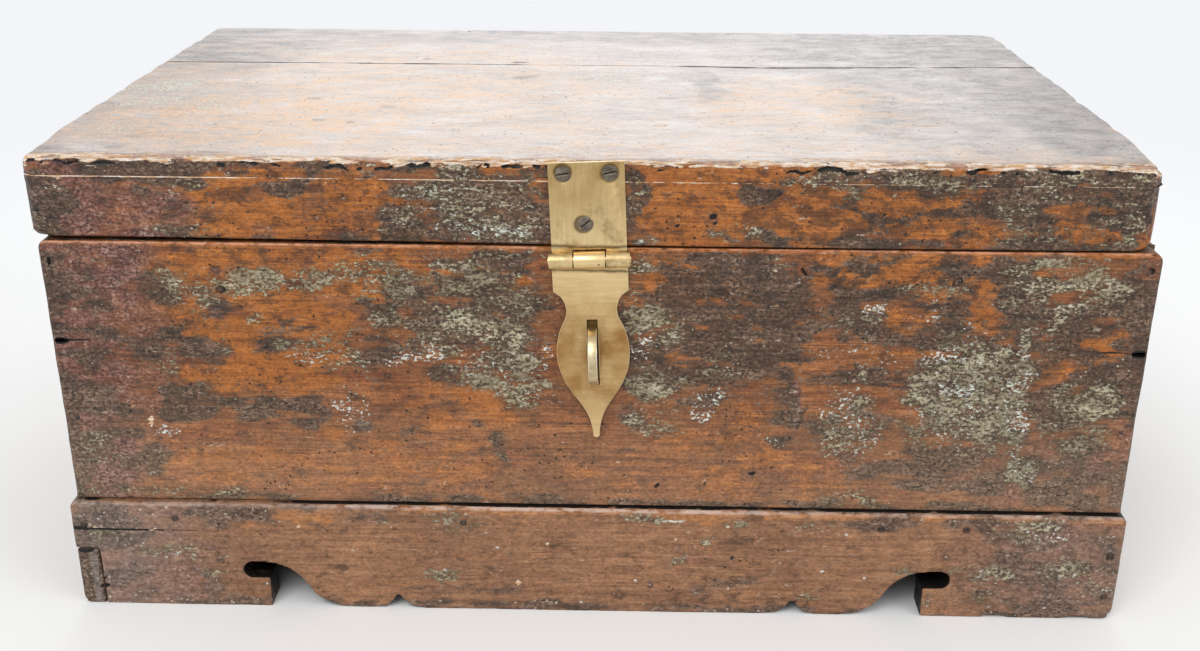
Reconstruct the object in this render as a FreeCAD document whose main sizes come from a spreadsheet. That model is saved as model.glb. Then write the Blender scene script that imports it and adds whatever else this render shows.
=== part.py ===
import FreeCAD, Part
import os
import Sketcher

# A small boarded wooden chest on a scalloped plinth, closed by a brass hasp over a staple.
# X runs to the right as one faces the hasp, Y to the back and Z up. The origin is on the
# floor, in the middle of the space that the chest takes up.

os.makedirs("parts", exist_ok=True)
doc = FreeCAD.newDocument("chest")

# Every driving size, in millimetres or degrees.
driving_sizes = {
    # case of nailed boards
    "case_width": 610,
    "case_depth": 382,
    "lower_board_height": 100.3,
    "upper_board_height": 59,
    "wall": 16,
    "floor_thickness": 12,
    "floor_split": 205,
    "arris": 1.2,
    "board_gap": 0.4,
    # plinth
    "plinth_height": 69,
    "plinth_front_wall": 20,
    "plinth_end_wall": 14,
    "ledge_front": 5.4,
    "ledge_end": 2.9,
    "tail_height": 38,
    "joint_gap": 0.3,
    "plinth_corner": 3,
    "cleat": 20,
    # scalloped lower edge of the plinth's front
    "foot_width": 114.4,
    "slot_height": 19.5,
    "slot_opening": 10.6,
    "slot_depth": 15.4,
    "ogee_lead": 3,
    "ogee_width": 50,
    "lobe_width": 16,
    "notch_height": 12,
    "notch_outer": 12.6,
    "notch_inner": 16,
    # lid
    "lid_width": 610,
    "lid_shift": 4.5,
    "lid_gap": 0.6,
    "rail_height": 36.1,
    "rail_wall": 16,
    "top_thickness": 11,
    "top_front_depth": 246.5,
    "back_corner": 9,
    "front_corner": 3.5,
    # hasp: strap on the lid, leaf below it, staple in the case
    "hasp_offset": 3.8,
    "hasp_drop": 5.6,
    "hasp_tilt": 2.3,
    "hasp_seat": 0.3,
    "hasp_barrel_radius": 4.8,
    "hasp_barrel_length": 43.6,
    "hasp_middle_knuckle": 17.5,
    "hasp_pin_radius": 2.2,
    "strap_thickness": 2,
    "strap_width": 40.6,
    "leaf_thickness": 1.8,
    "leaf_width": 41.2,
    "leaf_length": 107.4,
    "leaf_stand": 1.7,
    "slot_place": 54.9,
    "slot_length": 39.5,
    "slot_width": 6.2,
    "staple_drop": 57,
    "staple_radius": 17,
    "staple_band": 5,
    "staple_thickness": 2.6,
    "staple_stand": 2,
    "staple_clinch": 12,
    "staple_plate_reach": 21.4,
    "staple_plate_round": 9,
    "staple_plate_thickness": 1.2,
    "staple_plate_rise": 3,
    # back hinges
    "hinge_inset": 115,
    "hinge_length": 54,
    "hinge_barrel_radius": 4,
    "hinge_pin_radius": 1.8,
    "hinge_leaf_height": 30,
    "hinge_leaf_thickness": 1.8,
    "hinge_seat": 0.3,
    # fits and fasteners
    "pin_clearance": 0.05,
    "knuckle_gap": 0.3,
    "pin_stand": 0.6,
    "nail_width": 2.4,
    "nail_tip_width": 0.9,
    "nail_head_width": 4.4,
    "nail_head_top": 2.2,
    "nail_head_height": 1,
    "nail_length": 38,
    "nail_sink": 0.3,
    "screw_radius": 1.9,
    "screw_head_radius": 4.4,
    "screw_head_height": 1.8,
    "screw_length": 14,
    "screw_point": 4,
    "screw_slot_width": 1.1,
    "screw_slot_depth": 0.9,
    "top_screw_drop": 6.2,
    "top_screw_spread": 24.8,
    "low_screw_rise": 19.3,
    "low_screw_shift": 1.5,
    "left_slot_turn": 8,
    "right_slot_turn": 10,
    "low_slot_turn": 38,
    "hinge_slot_turn": 40,
    "hole_clearance": 0.1,
    "peg_radius": 2.3,
    "overrun": 1,
}

# Heights, faces and middles that follow from the driving sizes.
worked_out = {
    "case_top": "sizes.plinth_height + sizes.lower_board_height + sizes.upper_board_height",
    "board_seam": "sizes.plinth_height + sizes.lower_board_height",
    "lid_under": "places.case_top + sizes.lid_gap",
    "rail_top": "places.lid_under + sizes.rail_height",
    "lid_top": "places.rail_top + sizes.top_thickness",
    "plinth_half": "sizes.case_width / 2 + sizes.ledge_end",
    "lid_left_reach": "sizes.lid_width / 2 + sizes.lid_shift",
    "lid_right_reach": "sizes.lid_width / 2 - sizes.lid_shift",
    "left_reach": "max(places.plinth_half; places.lid_left_reach)",
    "right_reach": "max(places.plinth_half; places.lid_right_reach)",
    "middle": "(places.left_reach - places.right_reach) / 2",
    "lid_middle": "places.middle - sizes.lid_shift",
    "front_reach": "sizes.staple_stand + sizes.staple_radius",
    "back_reach": "max(sizes.ledge_end; sizes.hinge_seat + 2 * sizes.hinge_barrel_radius)",
    "front": "(places.front_reach - places.back_reach - sizes.case_depth) / 2",
    "back": "places.front + sizes.case_depth",
    "plinth_front": "places.front - sizes.ledge_front",
    "plinth_back": "places.back + sizes.ledge_end",
    "hasp_x": "places.middle - sizes.hasp_offset",
    "hasp_y": "places.front - sizes.hasp_seat - sizes.hasp_barrel_radius",
    "hasp_z": "places.case_top - sizes.hasp_drop",
    "hasp_wood": "sizes.hasp_barrel_radius + sizes.hasp_seat",
    "strap_height": "places.lid_top - places.hasp_z",
    "hinge_y": "places.back + sizes.hinge_seat + sizes.hinge_barrel_radius",
    "hinge_z": "(places.case_top + places.lid_under) / 2",
}

origin = FreeCAD.Vector(0, 0, 0)
x_axis = FreeCAD.Vector(1, 0, 0)
y_axis = FreeCAD.Vector(0, 1, 0)
z_axis = FreeCAD.Vector(0, 0, 1)
into_back = FreeCAD.Rotation(x_axis, -90)
into_front = FreeCAD.Rotation(x_axis, 90)
into_right = FreeCAD.Rotation(y_axis, 90)
into_left = FreeCAD.Rotation(y_axis, -90)
downwards = FreeCAD.Rotation(x_axis, 180)
turned_round = FreeCAD.Rotation(z_axis, 180)


def fill_sheet(name, cells):
    sheet = doc.addObject("Spreadsheet::Sheet", name)
    for row, (alias, value) in enumerate(cells.items(), 1):
        sheet.set(f"A{row}", alias)
        sheet.set(f"B{row}", str(value))
        sheet.setAlias(f"B{row}", alias)
    return sheet


sizes = fill_sheet("sizes", driving_sizes)
formulas = {alias: "=" + words.replace("places.", "") for alias, words in worked_out.items()}
places = fill_sheet("places", formulas)
doc.recompute()


def value(words):
    """The number that an expression of the two sheets stands for."""
    return float(places.evalExpression(words.replace("places.", "")))


# Two points closer than this count as one place when edges are picked.
near = value("sizes.hole_clearance")


def bind(thing, **expressions):
    for name, words in expressions.items():
        thing.setExpression(name, words)
    return thing


def put(thing, x="0", y="0", z="0", turn=None):
    """Stand a piece at a bound place, turned by a fixed rotation."""
    if turn is not None:
        thing.Placement = FreeCAD.Placement(origin, turn)
    for name, words in (("x", x), ("y", y), ("z", z)):
        if words != "0":
            thing.setExpression("Placement.Base." + name, words)
    return thing


def put_on_hasp(thing):
    """Stand a piece in the hasp's own frame: its pin along X, tilted as the hasp is."""
    thing.Placement = FreeCAD.Placement(origin, FreeCAD.Rotation(FreeCAD.Vector(0, -1, 0), 1))
    thing.setExpression("Placement.Rotation.Angle", "sizes.hasp_tilt")
    return put(thing, "places.hasp_x", "places.hasp_y", "places.hasp_z")


def new_body(name):
    return doc.addObject("PartDesign::Body", name)


def new_sketch(body, name, plane):
    """A sketch on one of the body's own planes: XY_Plane, XZ_Plane or YZ_Plane."""
    sketch = body.newObject("Sketcher::SketchObject", name)
    flat = [feature for feature in body.Origin.OriginFeatures if feature.Role == plane][0]
    sketch.AttachmentSupport = [(flat, "")]
    sketch.MapMode = "FlatFace"
    return sketch


def pin_point(sketch, number, end, across, up):
    """Hold one end of a line or arc at a bound place in its sketch."""
    for kind, words in (("DistanceX", across), ("DistanceY", up)):
        spot = sketch.addConstraint(Sketcher.Constraint(kind, number, end, value(words)))
        sketch.setExpression(f"Constraints[{spot}]", words)


def draw_outline(sketch, corners, bends=None):
    """A closed outline through bound corners. A bend makes the side that starts at its corner
    an arc through a bound middle point."""
    bends = bends or {}
    spots = [FreeCAD.Vector(value(across), value(up), 0) for across, up in corners]
    ends = []
    for number, here in enumerate(spots):
        there = spots[(number + 1) % len(spots)]
        if number not in bends:
            sketch.addGeometry(Part.LineSegment(here, there))
            ends.append((1, 2))
            continue
        across, up = bends[number]
        sketch.addGeometry(Part.Arc(here, FreeCAD.Vector(value(across), value(up), 0), there))
        begins_here = sketch.getPoint(number, 1).distanceToPoint(here) < near
        ends.append((1, 2) if begins_here else (2, 1))
    for number, corner in enumerate(corners):
        pin_point(sketch, number, ends[number][0], *corner)
    for number in range(len(corners)):
        after = (number + 1) % len(corners)
        joined = (number, ends[number][1], after, ends[after][0])
        sketch.addConstraint(Sketcher.Constraint("Coincident", *joined))
    for number, (across, up) in bends.items():
        mark = sketch.addGeometry(Part.Point(FreeCAD.Vector(value(across), value(up), 0)), True)
        pin_point(sketch, mark, 1, across, up)
        sketch.addConstraint(Sketcher.Constraint("PointOnObject", mark, 1, number))


def draw_circle(sketch, radius):
    """A circle of bound radius round the sketch's own origin."""
    sketch.addGeometry(Part.Circle(origin, z_axis, value(radius)))
    sketch.addConstraint(Sketcher.Constraint("Coincident", 0, 3, -1, 1))
    spot = sketch.addConstraint(Sketcher.Constraint("Radius", 0, value(radius)))
    sketch.setExpression(f"Constraints[{spot}]", radius)


def level_bend(level, other):
    """The middle of an arc between two corners that runs level at the first one."""
    run = f"({other[0]} - ({level[0]}))"
    rise = f"({other[1]} - ({level[1]}))"
    chord = f"sqrt({run}^2 + {rise}^2)"
    across = f"{level[0]} + {run} / abs{run} * {chord} / 2"
    up = f"{level[1]} + {chord}^2 / (2 * {rise}) * (1 - abs{run} / {chord})"
    return across, up


def pad(body, sketch, name, length, centred=False, reverse=False):
    feature = body.newObject("PartDesign::Pad", name)
    feature.Profile = sketch
    feature.Midplane = centred
    feature.Reversed = reverse
    return bind(feature, Length=length)


def rounded(body, feature, name, radius, edges):
    fillet = body.newObject("PartDesign::Fillet", name)
    fillet.Base = (feature, edges)
    bind(fillet, Radius=radius)
    body.Tip = fillet
    return fillet


def eased(body, feature, name, size, edges=None):
    """Take the sharpness off the given edges, or off all of them, with a narrow flat."""
    chamfer = body.newObject("PartDesign::Chamfer", name)
    if edges is None:
        chamfer.Base = (feature, [""])
        chamfer.UseAllEdges = True
    else:
        chamfer.Base = (feature, edges)
    bind(chamfer, Size=size)
    body.Tip = chamfer
    return chamfer


def edges_where(feature, test):
    """Names of the edges whose two ends both pass a test."""
    return [f"Edge{number}" for number, edge in enumerate(feature.Shape.Edges, 1)
            if all(test(corner.Point) for corner in edge.Vertexes)]


def board(name, low, long, deep, high, corners=(), corner_radius=None):
    """A plain board with eased edges. corners picks upright edges for a wider rounding, each
    as shares of the board's length and depth."""
    body = new_body(name + "_blank")
    feature = body.newObject("PartDesign::AdditiveBox", name + "_box")
    bind(feature, Length=long, Width=deep, Height=high)
    put(body, *low)
    body.Tip = feature
    for number, (along_share, deep_share) in enumerate(corners, 1):
        doc.recompute()
        spot = FreeCAD.Vector(value(long) * along_share, value(deep) * deep_share, 0)
        picked = edges_where(feature, lambda end: end.sub(spot).cross(z_axis).Length < near)
        feature = rounded(body, feature, f"{name}_corner_{number}", corner_radius, picked)
    doc.recompute()
    eased(body, feature, name + "_eased", "sizes.arris")
    return body


def turned_piece(name, profile):
    """A piece turned about Z from a half profile of bound corners."""
    body = new_body(name)
    sketch = new_sketch(body, name + "_profile", "XZ_Plane")
    draw_outline(sketch, profile)
    spin = body.newObject("PartDesign::Revolution", name + "_turned")
    spin.Profile = sketch
    spin.ReferenceAxis = (sketch, ["V_Axis"])
    return body


def square_outline(body, name, width, height):
    """A level square round the body's Z axis, at a bound height."""
    sketch = new_sketch(body, name, "XY_Plane")
    sketch.setExpression("AttachmentOffset.Base.z", height)
    half = f"({width}) / 2"
    draw_outline(sketch, [(f"-{half}", f"-{half}"), (half, f"-{half}"), (half, half), (f"-{half}", half)])
    return sketch


def group(name, members):
    compound = doc.addObject("Part::Compound", name)
    compound.Links = members
    return compound


def copy_of(master, name, spot, turn):
    link = doc.addObject("App::Link", name)
    link.LinkedObject = master
    return put(link, *spot, turn=turn)


pieces = {}


def keep(node, thing):
    thing.Label = node
    pieces[node] = thing
    return thing


def keep_cut(node, blank, cutters):
    """A piece with holes: the blank less the cutters that pass through it."""
    cut = doc.addObject("Part::Cut", node + "_cut")
    cut.Base = blank
    cut.Tool = cutters[0] if len(cutters) == 1 else group(node + "_cutters", cutters)
    return keep(node, cut)


# Square cut nails, wood screws and the holes that they sit in. Each points along its own Z,
# head at 0. A nail's head is a low pyramid and its shank tapers to a blunt tip.

nail_root = "sizes.nail_sink + sizes.nail_head_height"
shank_length = f"(sizes.nail_length - ({nail_root}))"
shank_taper = f"-atan((sizes.nail_width - sizes.nail_tip_width) / 2 / {shank_length})"
head_taper = "-atan((sizes.nail_head_width - sizes.nail_head_top) / 2 / sizes.nail_head_height)"

nail = new_body("nail")
nail_head = square_outline(nail, "nail_head_outline", "sizes.nail_head_width", nail_root)
bind(pad(nail, nail_head, "nail_head", "sizes.nail_head_height", reverse=True), TaperAngle=head_taper)
nail_shank = square_outline(nail, "nail_shank_outline", "sizes.nail_width", nail_root)
bind(pad(nail, nail_shank, "nail_shank", shank_length), TaperAngle=shank_taper)

nail_hole = new_body("nail_hole")
mouth_outline = square_outline(nail_hole, "nail_mouth_outline",
                               "sizes.nail_head_width + 2 * sizes.hole_clearance", "-sizes.overrun")
pad(nail_hole, mouth_outline, "nail_mouth", f"{nail_root} + sizes.overrun")
bore_outline = square_outline(nail_hole, "nail_bore_outline",
                              "sizes.nail_width + 2 * sizes.hole_clearance", nail_root)
bind(pad(nail_hole, bore_outline, "nail_bore", f"{shank_length} + sizes.hole_clearance"),
     TaperAngle=shank_taper)


def nails(name, spots):
    """Nails at bound places, each with the way it is driven, and the holes for them."""
    driven = [copy_of(nail, f"{name}_{n}", spot, turn) for n, (spot, turn) in enumerate(spots, 1)]
    holes = [copy_of(nail_hole, f"{name}_hole_{n}", spot, turn) for n, (spot, turn) in enumerate(spots, 1)]
    keep(name, group(name + "_set", driven))
    return group(name + "_holes", holes)


screw_blank = turned_piece("screw_blank", [
    ("0", "0"),
    ("sizes.screw_head_radius", "0"),
    ("sizes.screw_radius", "sizes.screw_head_height"),
    ("sizes.screw_radius", "sizes.screw_length - sizes.screw_point"),
    ("0", "sizes.screw_length"),
])
driver_slot = bind(doc.addObject("Part::Box", "driver_slot"),
                   Length="2 * (sizes.screw_head_radius + sizes.overrun)",
                   Width="sizes.screw_slot_width",
                   Height="sizes.screw_slot_depth + sizes.overrun")
put(driver_slot, "-sizes.screw_head_radius - sizes.overrun", "-sizes.screw_slot_width / 2",
    "-sizes.overrun")
screw = doc.addObject("Part::Cut", "screw")
screw.Base = screw_blank
screw.Tool = driver_slot
screw_hole = turned_piece("screw_hole", [
    ("0", "-sizes.overrun"),
    ("sizes.screw_head_radius + sizes.hole_clearance", "-sizes.overrun"),
    ("sizes.screw_head_radius + sizes.hole_clearance", "0"),
    ("sizes.screw_radius + sizes.hole_clearance", "sizes.screw_head_height"),
    ("sizes.screw_radius + sizes.hole_clearance", "sizes.screw_length + sizes.hole_clearance"),
    ("0", "sizes.screw_length + sizes.hole_clearance"),
])

# Where the nails go: along the boards' corners, round the lid, and through the plinth.

upper_nail_shares = [0.26, 0.8]
lower_nail_shares = [0.2, 0.52, 0.86]
case_nail_heights = [f"sizes.plinth_height + sizes.lower_board_height * {share}"
                     for share in lower_nail_shares]
case_nail_heights += [f"places.board_seam + sizes.upper_board_height * {share}"
                      for share in upper_nail_shares]
half_wall = "sizes.wall / 2"
case_left = "places.middle - sizes.case_width / 2"
case_right = "places.middle + sizes.case_width / 2"

corner_spots = []
for height in case_nail_heights:
    for across in (f"{case_left} + {half_wall}", f"{case_right} - {half_wall}"):
        corner_spots.append(((across, "places.front", height), into_back))
        corner_spots.append(((across, "places.back", height), into_front))
case_nail_holes = nails("case_corner_nails", corner_spots)

floor_nail_height = "sizes.plinth_height + sizes.floor_thickness / 2"
back_nail_shares = [-0.36, -0.12, 0.12, 0.36]
end_nail_shares = [0.2, 0.4, 0.68, 0.86]
floor_spots = []
for share in back_nail_shares:
    across = f"places.middle + sizes.case_width * {share}"
    floor_spots.append(((across, "places.back", floor_nail_height), into_front))
for share in end_nail_shares:
    along = f"places.front + sizes.case_depth * {share}"
    floor_spots.append(((case_left, along, floor_nail_height), into_right))
    floor_spots.append(((case_right, along, floor_nail_height), into_left))
floor_nail_holes = nails("floor_nails", floor_spots)

cleat_nail_shares = [-0.8, -0.25, 0.54, 0.7]
cleat_nail_height = "sizes.plinth_height - sizes.cleat / 2"
plinth_left = "places.middle - places.plinth_half"
plinth_right = "places.middle + places.plinth_half"
half_end = "sizes.plinth_end_wall / 2"
plinth_spots = []
for share in cleat_nail_shares:
    across = f"places.middle + places.plinth_half * {share}"
    plinth_spots.append(((across, "places.plinth_front", cleat_nail_height), into_back))
    plinth_spots.append(((across, "places.plinth_back", cleat_nail_height), into_front))
left_nail_height = "(sizes.tail_height + sizes.plinth_height) / 2"
plinth_spots.append(((f"{plinth_left} + {half_end}", "places.plinth_front", left_nail_height), into_back))
right_nail_shares = [0.22, 0.62]
for share in right_nail_shares:
    height = f"sizes.plinth_height * {share}"
    plinth_spots.append(((f"{plinth_right} - {half_end}", "places.plinth_front", height), into_back))
    plinth_spots.append(((f"{plinth_right} - {half_end}", "places.plinth_back", height), into_front))
    plinth_spots.append(((f"{plinth_left} + {half_end}", "places.plinth_back", height), into_front))
plinth_nail_holes = nails("plinth_nails", plinth_spots)

lid_left = "places.lid_middle - sizes.lid_width / 2"
lid_right = "places.lid_middle + sizes.lid_width / 2"
half_rail = "sizes.rail_wall / 2"
rail_nail_height = "places.lid_under + sizes.rail_height / 2"
lid_long_shares = [-0.42, -0.17, 0.16, 0.41]
lid_end_shares = [0.16, 0.48, 0.8]
lid_spots = []
for share in lid_long_shares:
    across = f"places.lid_middle + sizes.lid_width * {share}"
    lid_spots.append(((across, f"places.front + {half_rail}", "places.lid_top"), downwards))
    lid_spots.append(((across, f"places.back - {half_rail}", "places.lid_top"), downwards))
for across in (f"{lid_left} + {half_rail}", f"{lid_right} - {half_rail}"):
    for share in lid_end_shares:
        along = f"places.front + sizes.case_depth * {share}"
        lid_spots.append(((across, along, "places.lid_top"), downwards))
    lid_spots.append(((across, "places.front", rail_nail_height), into_back))
    lid_spots.append(((across, "places.back", rail_nail_height), into_front))
lid_nail_holes = nails("lid_nails", lid_spots)

# Hasp screws, in the hasp's frame, with the slots turned as they were left.

top_screw_height = "places.strap_height - sizes.top_screw_drop"
strap_face = "places.hasp_wood - sizes.hasp_seat - sizes.strap_thickness"
strap_screw_spots = [
    ("-sizes.top_screw_spread / 2", top_screw_height, "sizes.left_slot_turn"),
    ("sizes.top_screw_spread / 2", top_screw_height, "sizes.right_slot_turn"),
    ("-sizes.low_screw_shift", "sizes.low_screw_rise", "sizes.low_slot_turn"),
]
strap_screws = []
strap_holes = []
for number, (across, up, slot_turn) in enumerate(strap_screw_spots, 1):
    turn = into_back.multiply(FreeCAD.Rotation(z_axis, -value(slot_turn)))
    spot = (across, strap_face, up)
    strap_screws.append(copy_of(screw, f"strap_screw_{number}", spot, turn))
    strap_holes.append(copy_of(screw_hole, f"strap_hole_{number}", spot, turn))
keep("strap_screws", put_on_hasp(group("strap_screw_set", strap_screws)))
strap_screw_holes = put_on_hasp(group("strap_screw_holes", strap_holes))

# Case: four walls of two boards each, edge to edge, nailed at the corners, and a floor.

inner_width = "sizes.case_width - 2 * sizes.wall"
inner_depth = "sizes.case_depth - 2 * sizes.wall"
staple_legs = []
for name, side in (("upper", 1), ("lower", -1)):
    leg = doc.addObject("Part::Box", f"staple_{name}_leg_hole")
    bind(leg, Length="sizes.staple_band + 2 * sizes.hole_clearance",
         Width="sizes.staple_stand + sizes.wall + sizes.overrun",
         Height="sizes.staple_thickness + 2 * sizes.hole_clearance")
    leg_middle = f"-sizes.staple_drop + {side} * (sizes.staple_radius - sizes.staple_thickness / 2)"
    put(leg, "-sizes.staple_band / 2 - sizes.hole_clearance", "places.hasp_wood - sizes.staple_stand",
        f"{leg_middle} - sizes.staple_thickness / 2 - sizes.hole_clearance")
    staple_legs.append(leg)
staple_leg_holes = put_on_hasp(group("staple_leg_holes", staple_legs))

peg_shares = [(-0.339, 0.54), (0.32, 0.7)]
pegs = []
peg_holes = []
for number, (along_share, high_share) in enumerate(peg_shares, 1):
    spot = (f"places.middle + sizes.case_width * {along_share}", "places.front",
            f"places.board_seam + sizes.upper_board_height * {high_share}")
    peg = doc.addObject("Part::Cylinder", f"peg_{number}")
    pegs.append(put(bind(peg, Radius="sizes.peg_radius", Height="sizes.wall"), *spot, turn=into_back))
    hole = doc.addObject("Part::Cylinder", f"peg_hole_{number}")
    bind(hole, Radius="sizes.peg_radius + sizes.hole_clearance", Height="sizes.wall + sizes.overrun")
    peg_holes.append(put(hole, *spot, turn=into_back))
keep("front_pegs", group("front_peg_set", pegs))
front_peg_holes = group("front_peg_holes", peg_holes)


hinge_screw_share = 0.6
hinge_screw_shares = [-0.3, 0.3]


def screws_on_hinge(name, side, hinge_spot):
    """The screws of one back hinge's leaf and the holes for them; side is 1 up, -1 down."""
    face = "sizes.hinge_barrel_radius - sizes.hinge_leaf_thickness"
    height = f"{side} * sizes.hinge_leaf_height * {hinge_screw_share}"
    set_in = []
    holes = []
    for number, share in enumerate(hinge_screw_shares, 1):
        turn = into_back.multiply(FreeCAD.Rotation(z_axis, value("sizes.hinge_slot_turn") * number))
        spot = (f"sizes.hinge_length * {share}", face, height)
        set_in.append(copy_of(screw, f"{name}_screw_{number}", spot, turn))
        holes.append(copy_of(screw_hole, f"{name}_screw_hole_{number}", spot, turn))
    return (put(group(f"{name}_screws", set_in), *hinge_spot, turn=turned_round),
            put(group(f"{name}_screw_holes", holes), *hinge_spot, turn=turned_round))


hinges = {
    "left": (f"{case_left} + sizes.hinge_inset", "places.hinge_y", "places.hinge_z"),
    "right": (f"{case_right} - sizes.hinge_inset", "places.hinge_y", "places.hinge_z"),
}
hinge_screws = {1: [], -1: []}
hinge_holes = {1: [], -1: []}
hinge_holes_by_leaf = {}
for hand, spot in hinges.items():
    for leaf, side in (("upper", 1), ("lower", -1)):
        set_in, holes = screws_on_hinge(f"hinge_{hand}_{leaf}", side, spot)
        hinge_screws[side].append(set_in)
        hinge_holes[side].append(holes)
        hinge_holes_by_leaf[hand, leaf] = holes
keep("hinge_screws_lid", group("hinge_screws_lid_set", hinge_screws[1]))
keep("hinge_screws_case", group("hinge_screws_case_set", hinge_screws[-1]))
lid_hinge_holes = group("lid_hinge_holes", hinge_holes[1])
case_hinge_holes = group("case_hinge_holes", hinge_holes[-1])

wall_rows = {
    "lower": ("sizes.plinth_height", "sizes.lower_board_height"),
    "upper": ("places.board_seam", "sizes.upper_board_height"),
}
extra_cutters = {
    "front_board_lower": [staple_leg_holes],
    "front_board_upper": [staple_leg_holes, front_peg_holes],
    "back_board_lower": [floor_nail_holes],
    "back_board_upper": [case_hinge_holes],
    "left_end_lower": [floor_nail_holes],
    "left_end_upper": [],
    "right_end_lower": [floor_nail_holes],
    "right_end_upper": [],
}
for row, (bottom, high) in wall_rows.items():
    walls = {
        f"front_board_{row}": ((case_left, "places.front", bottom), "sizes.case_width", "sizes.wall"),
        f"back_board_{row}": ((case_left, "places.back - sizes.wall", bottom),
                              "sizes.case_width", "sizes.wall"),
        f"left_end_{row}": ((case_left, "places.front + sizes.wall", bottom), "sizes.wall", inner_depth),
        f"right_end_{row}": ((f"{case_right} - sizes.wall", "places.front + sizes.wall", bottom),
                             "sizes.wall", inner_depth),
    }
    for node, (low, long, deep) in walls.items():
        keep_cut(node, board(node, low, long, deep, high), [case_nail_holes] + extra_cutters[node])

floor_left = "places.middle - sizes.case_width / 2 + sizes.wall"
floor_front = "places.front + sizes.wall"
keep_cut("floor_board_front",
         board("floor_board_front", (floor_left, floor_front, "sizes.plinth_height"), inner_width,
               "sizes.floor_split - sizes.board_gap", "sizes.floor_thickness"),
         [floor_nail_holes])
floor_seam = f"{floor_front} + sizes.floor_split"
keep_cut("floor_board_back",
         board("floor_board_back", (floor_left, floor_seam, "sizes.plinth_height"),
               inner_width, f"{inner_depth} - sizes.floor_split", "sizes.floor_thickness"),
         [floor_nail_holes])

# Plinth: a scalloped front, plain back and ends, and two cleats under the floor. The left end
# runs through the front board's lower corner as a lapped tail.


def mirrored(corners):
    return [(f"-({across})", up) for across, up in reversed(corners)]


foot = "(places.plinth_half - sizes.foot_width)"
slot_end = f"{foot} + sizes.slot_depth - sizes.slot_opening / 2"
slot_top = "sizes.slot_height + sizes.slot_opening"
ogee_top = f"{foot} + sizes.ogee_lead"
ogee_low = f"{ogee_top} - sizes.ogee_width"
lobe_end = f"{ogee_low} - sizes.lobe_width"
notch = f"{lobe_end} - sizes.notch_outer"
scallop = [
    (f"{notch} - sizes.notch_inner", "0"),
    (notch, "sizes.notch_height"),
    (lobe_end, "0"),
    (ogee_low, "0"),
    (f"{ogee_low} + sizes.ogee_width / 2", f"({slot_top}) / 2"),
    (ogee_top, slot_top),
    (slot_end, slot_top),
    (slot_end, "sizes.slot_height"),
    (foot, "sizes.slot_height"),
    (foot, "0"),
]
slot_bend = (f"{foot} + sizes.slot_depth", "sizes.slot_height + sizes.slot_opening / 2")
right_bends = {
    0: level_bend(scallop[0], scallop[1]),
    1: level_bend(scallop[2], scallop[1]),
    3: level_bend(scallop[3], scallop[4]),
    4: level_bend(scallop[5], scallop[4]),
    6: slot_bend,
}
tail_side = "-places.plinth_half + sizes.plinth_end_wall + sizes.joint_gap"
tail_top = "sizes.tail_height + sizes.joint_gap"
left_corner = [
    ("places.plinth_half", "0"),
    ("places.plinth_half", "sizes.plinth_height"),
    ("-places.plinth_half", "sizes.plinth_height"),
    ("-places.plinth_half", tail_top),
    (tail_side, tail_top),
    (tail_side, "0"),
]
front_corners = scallop + left_corner + mirrored(scallop)
last = len(front_corners) - 1
front_bends = dict(right_bends)
for number, (across, up) in right_bends.items():
    front_bends[last - number - 1] = (f"-({across})", up)

plinth_front_blank = new_body("plinth_front_blank")
front_outline = new_sketch(plinth_front_blank, "plinth_front_outline", "XZ_Plane")
draw_outline(front_outline, front_corners, front_bends)
front_pad = pad(plinth_front_blank, front_outline, "plinth_front_pad", "sizes.plinth_front_wall",
                reverse=True)
put(plinth_front_blank, "places.middle", "places.plinth_front", "0")
doc.recompute()
front_top = value("sizes.plinth_height")
right_side = value("places.plinth_half")
front_pad = rounded(plinth_front_blank, front_pad, "plinth_front_ledge", "sizes.plinth_corner",
                    edges_where(front_pad, lambda end: end.y < near and (
                        abs(end.z - front_top) < near or abs(end.x - right_side) < near)))
keep_cut("plinth_front", plinth_front_blank, [plinth_nail_holes])

plinth_back_low = (plinth_left, "places.plinth_back - sizes.plinth_front_wall", "0")
keep_cut("plinth_back",
         board("plinth_back", plinth_back_low, "2 * places.plinth_half", "sizes.plinth_front_wall",
               "sizes.plinth_height"),
         [plinth_nail_holes])
plinth_end_front = "places.plinth_front + sizes.plinth_front_wall"
plinth_end_length = "(places.plinth_back - places.plinth_front - 2 * sizes.plinth_front_wall)"
keep_cut("plinth_right",
         board("plinth_right", (f"{plinth_right} - sizes.plinth_end_wall", plinth_end_front, "0"),
               "sizes.plinth_end_wall", plinth_end_length, "sizes.plinth_height"),
         [plinth_nail_holes])

plinth_left_blank = new_body("plinth_left_blank")
left_outline = new_sketch(plinth_left_blank, "plinth_left_outline", "YZ_Plane")
left_back = f"sizes.plinth_front_wall + {plinth_end_length}"
draw_outline(left_outline, [
    ("0", "0"),
    (left_back, "0"),
    (left_back, "sizes.plinth_height"),
    ("sizes.plinth_front_wall", "sizes.plinth_height"),
    ("sizes.plinth_front_wall", "sizes.tail_height"),
    ("0", "sizes.tail_height"),
])
left_pad = pad(plinth_left_blank, left_outline, "plinth_left_pad", "sizes.plinth_end_wall")
put(plinth_left_blank, plinth_left, "places.plinth_front", "0")
doc.recompute()
eased(plinth_left_blank, left_pad, "plinth_left_eased", "sizes.arris",
      edges_where(left_pad, lambda end: end.x < near))
keep_cut("plinth_left", plinth_left_blank, [plinth_nail_holes])

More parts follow.
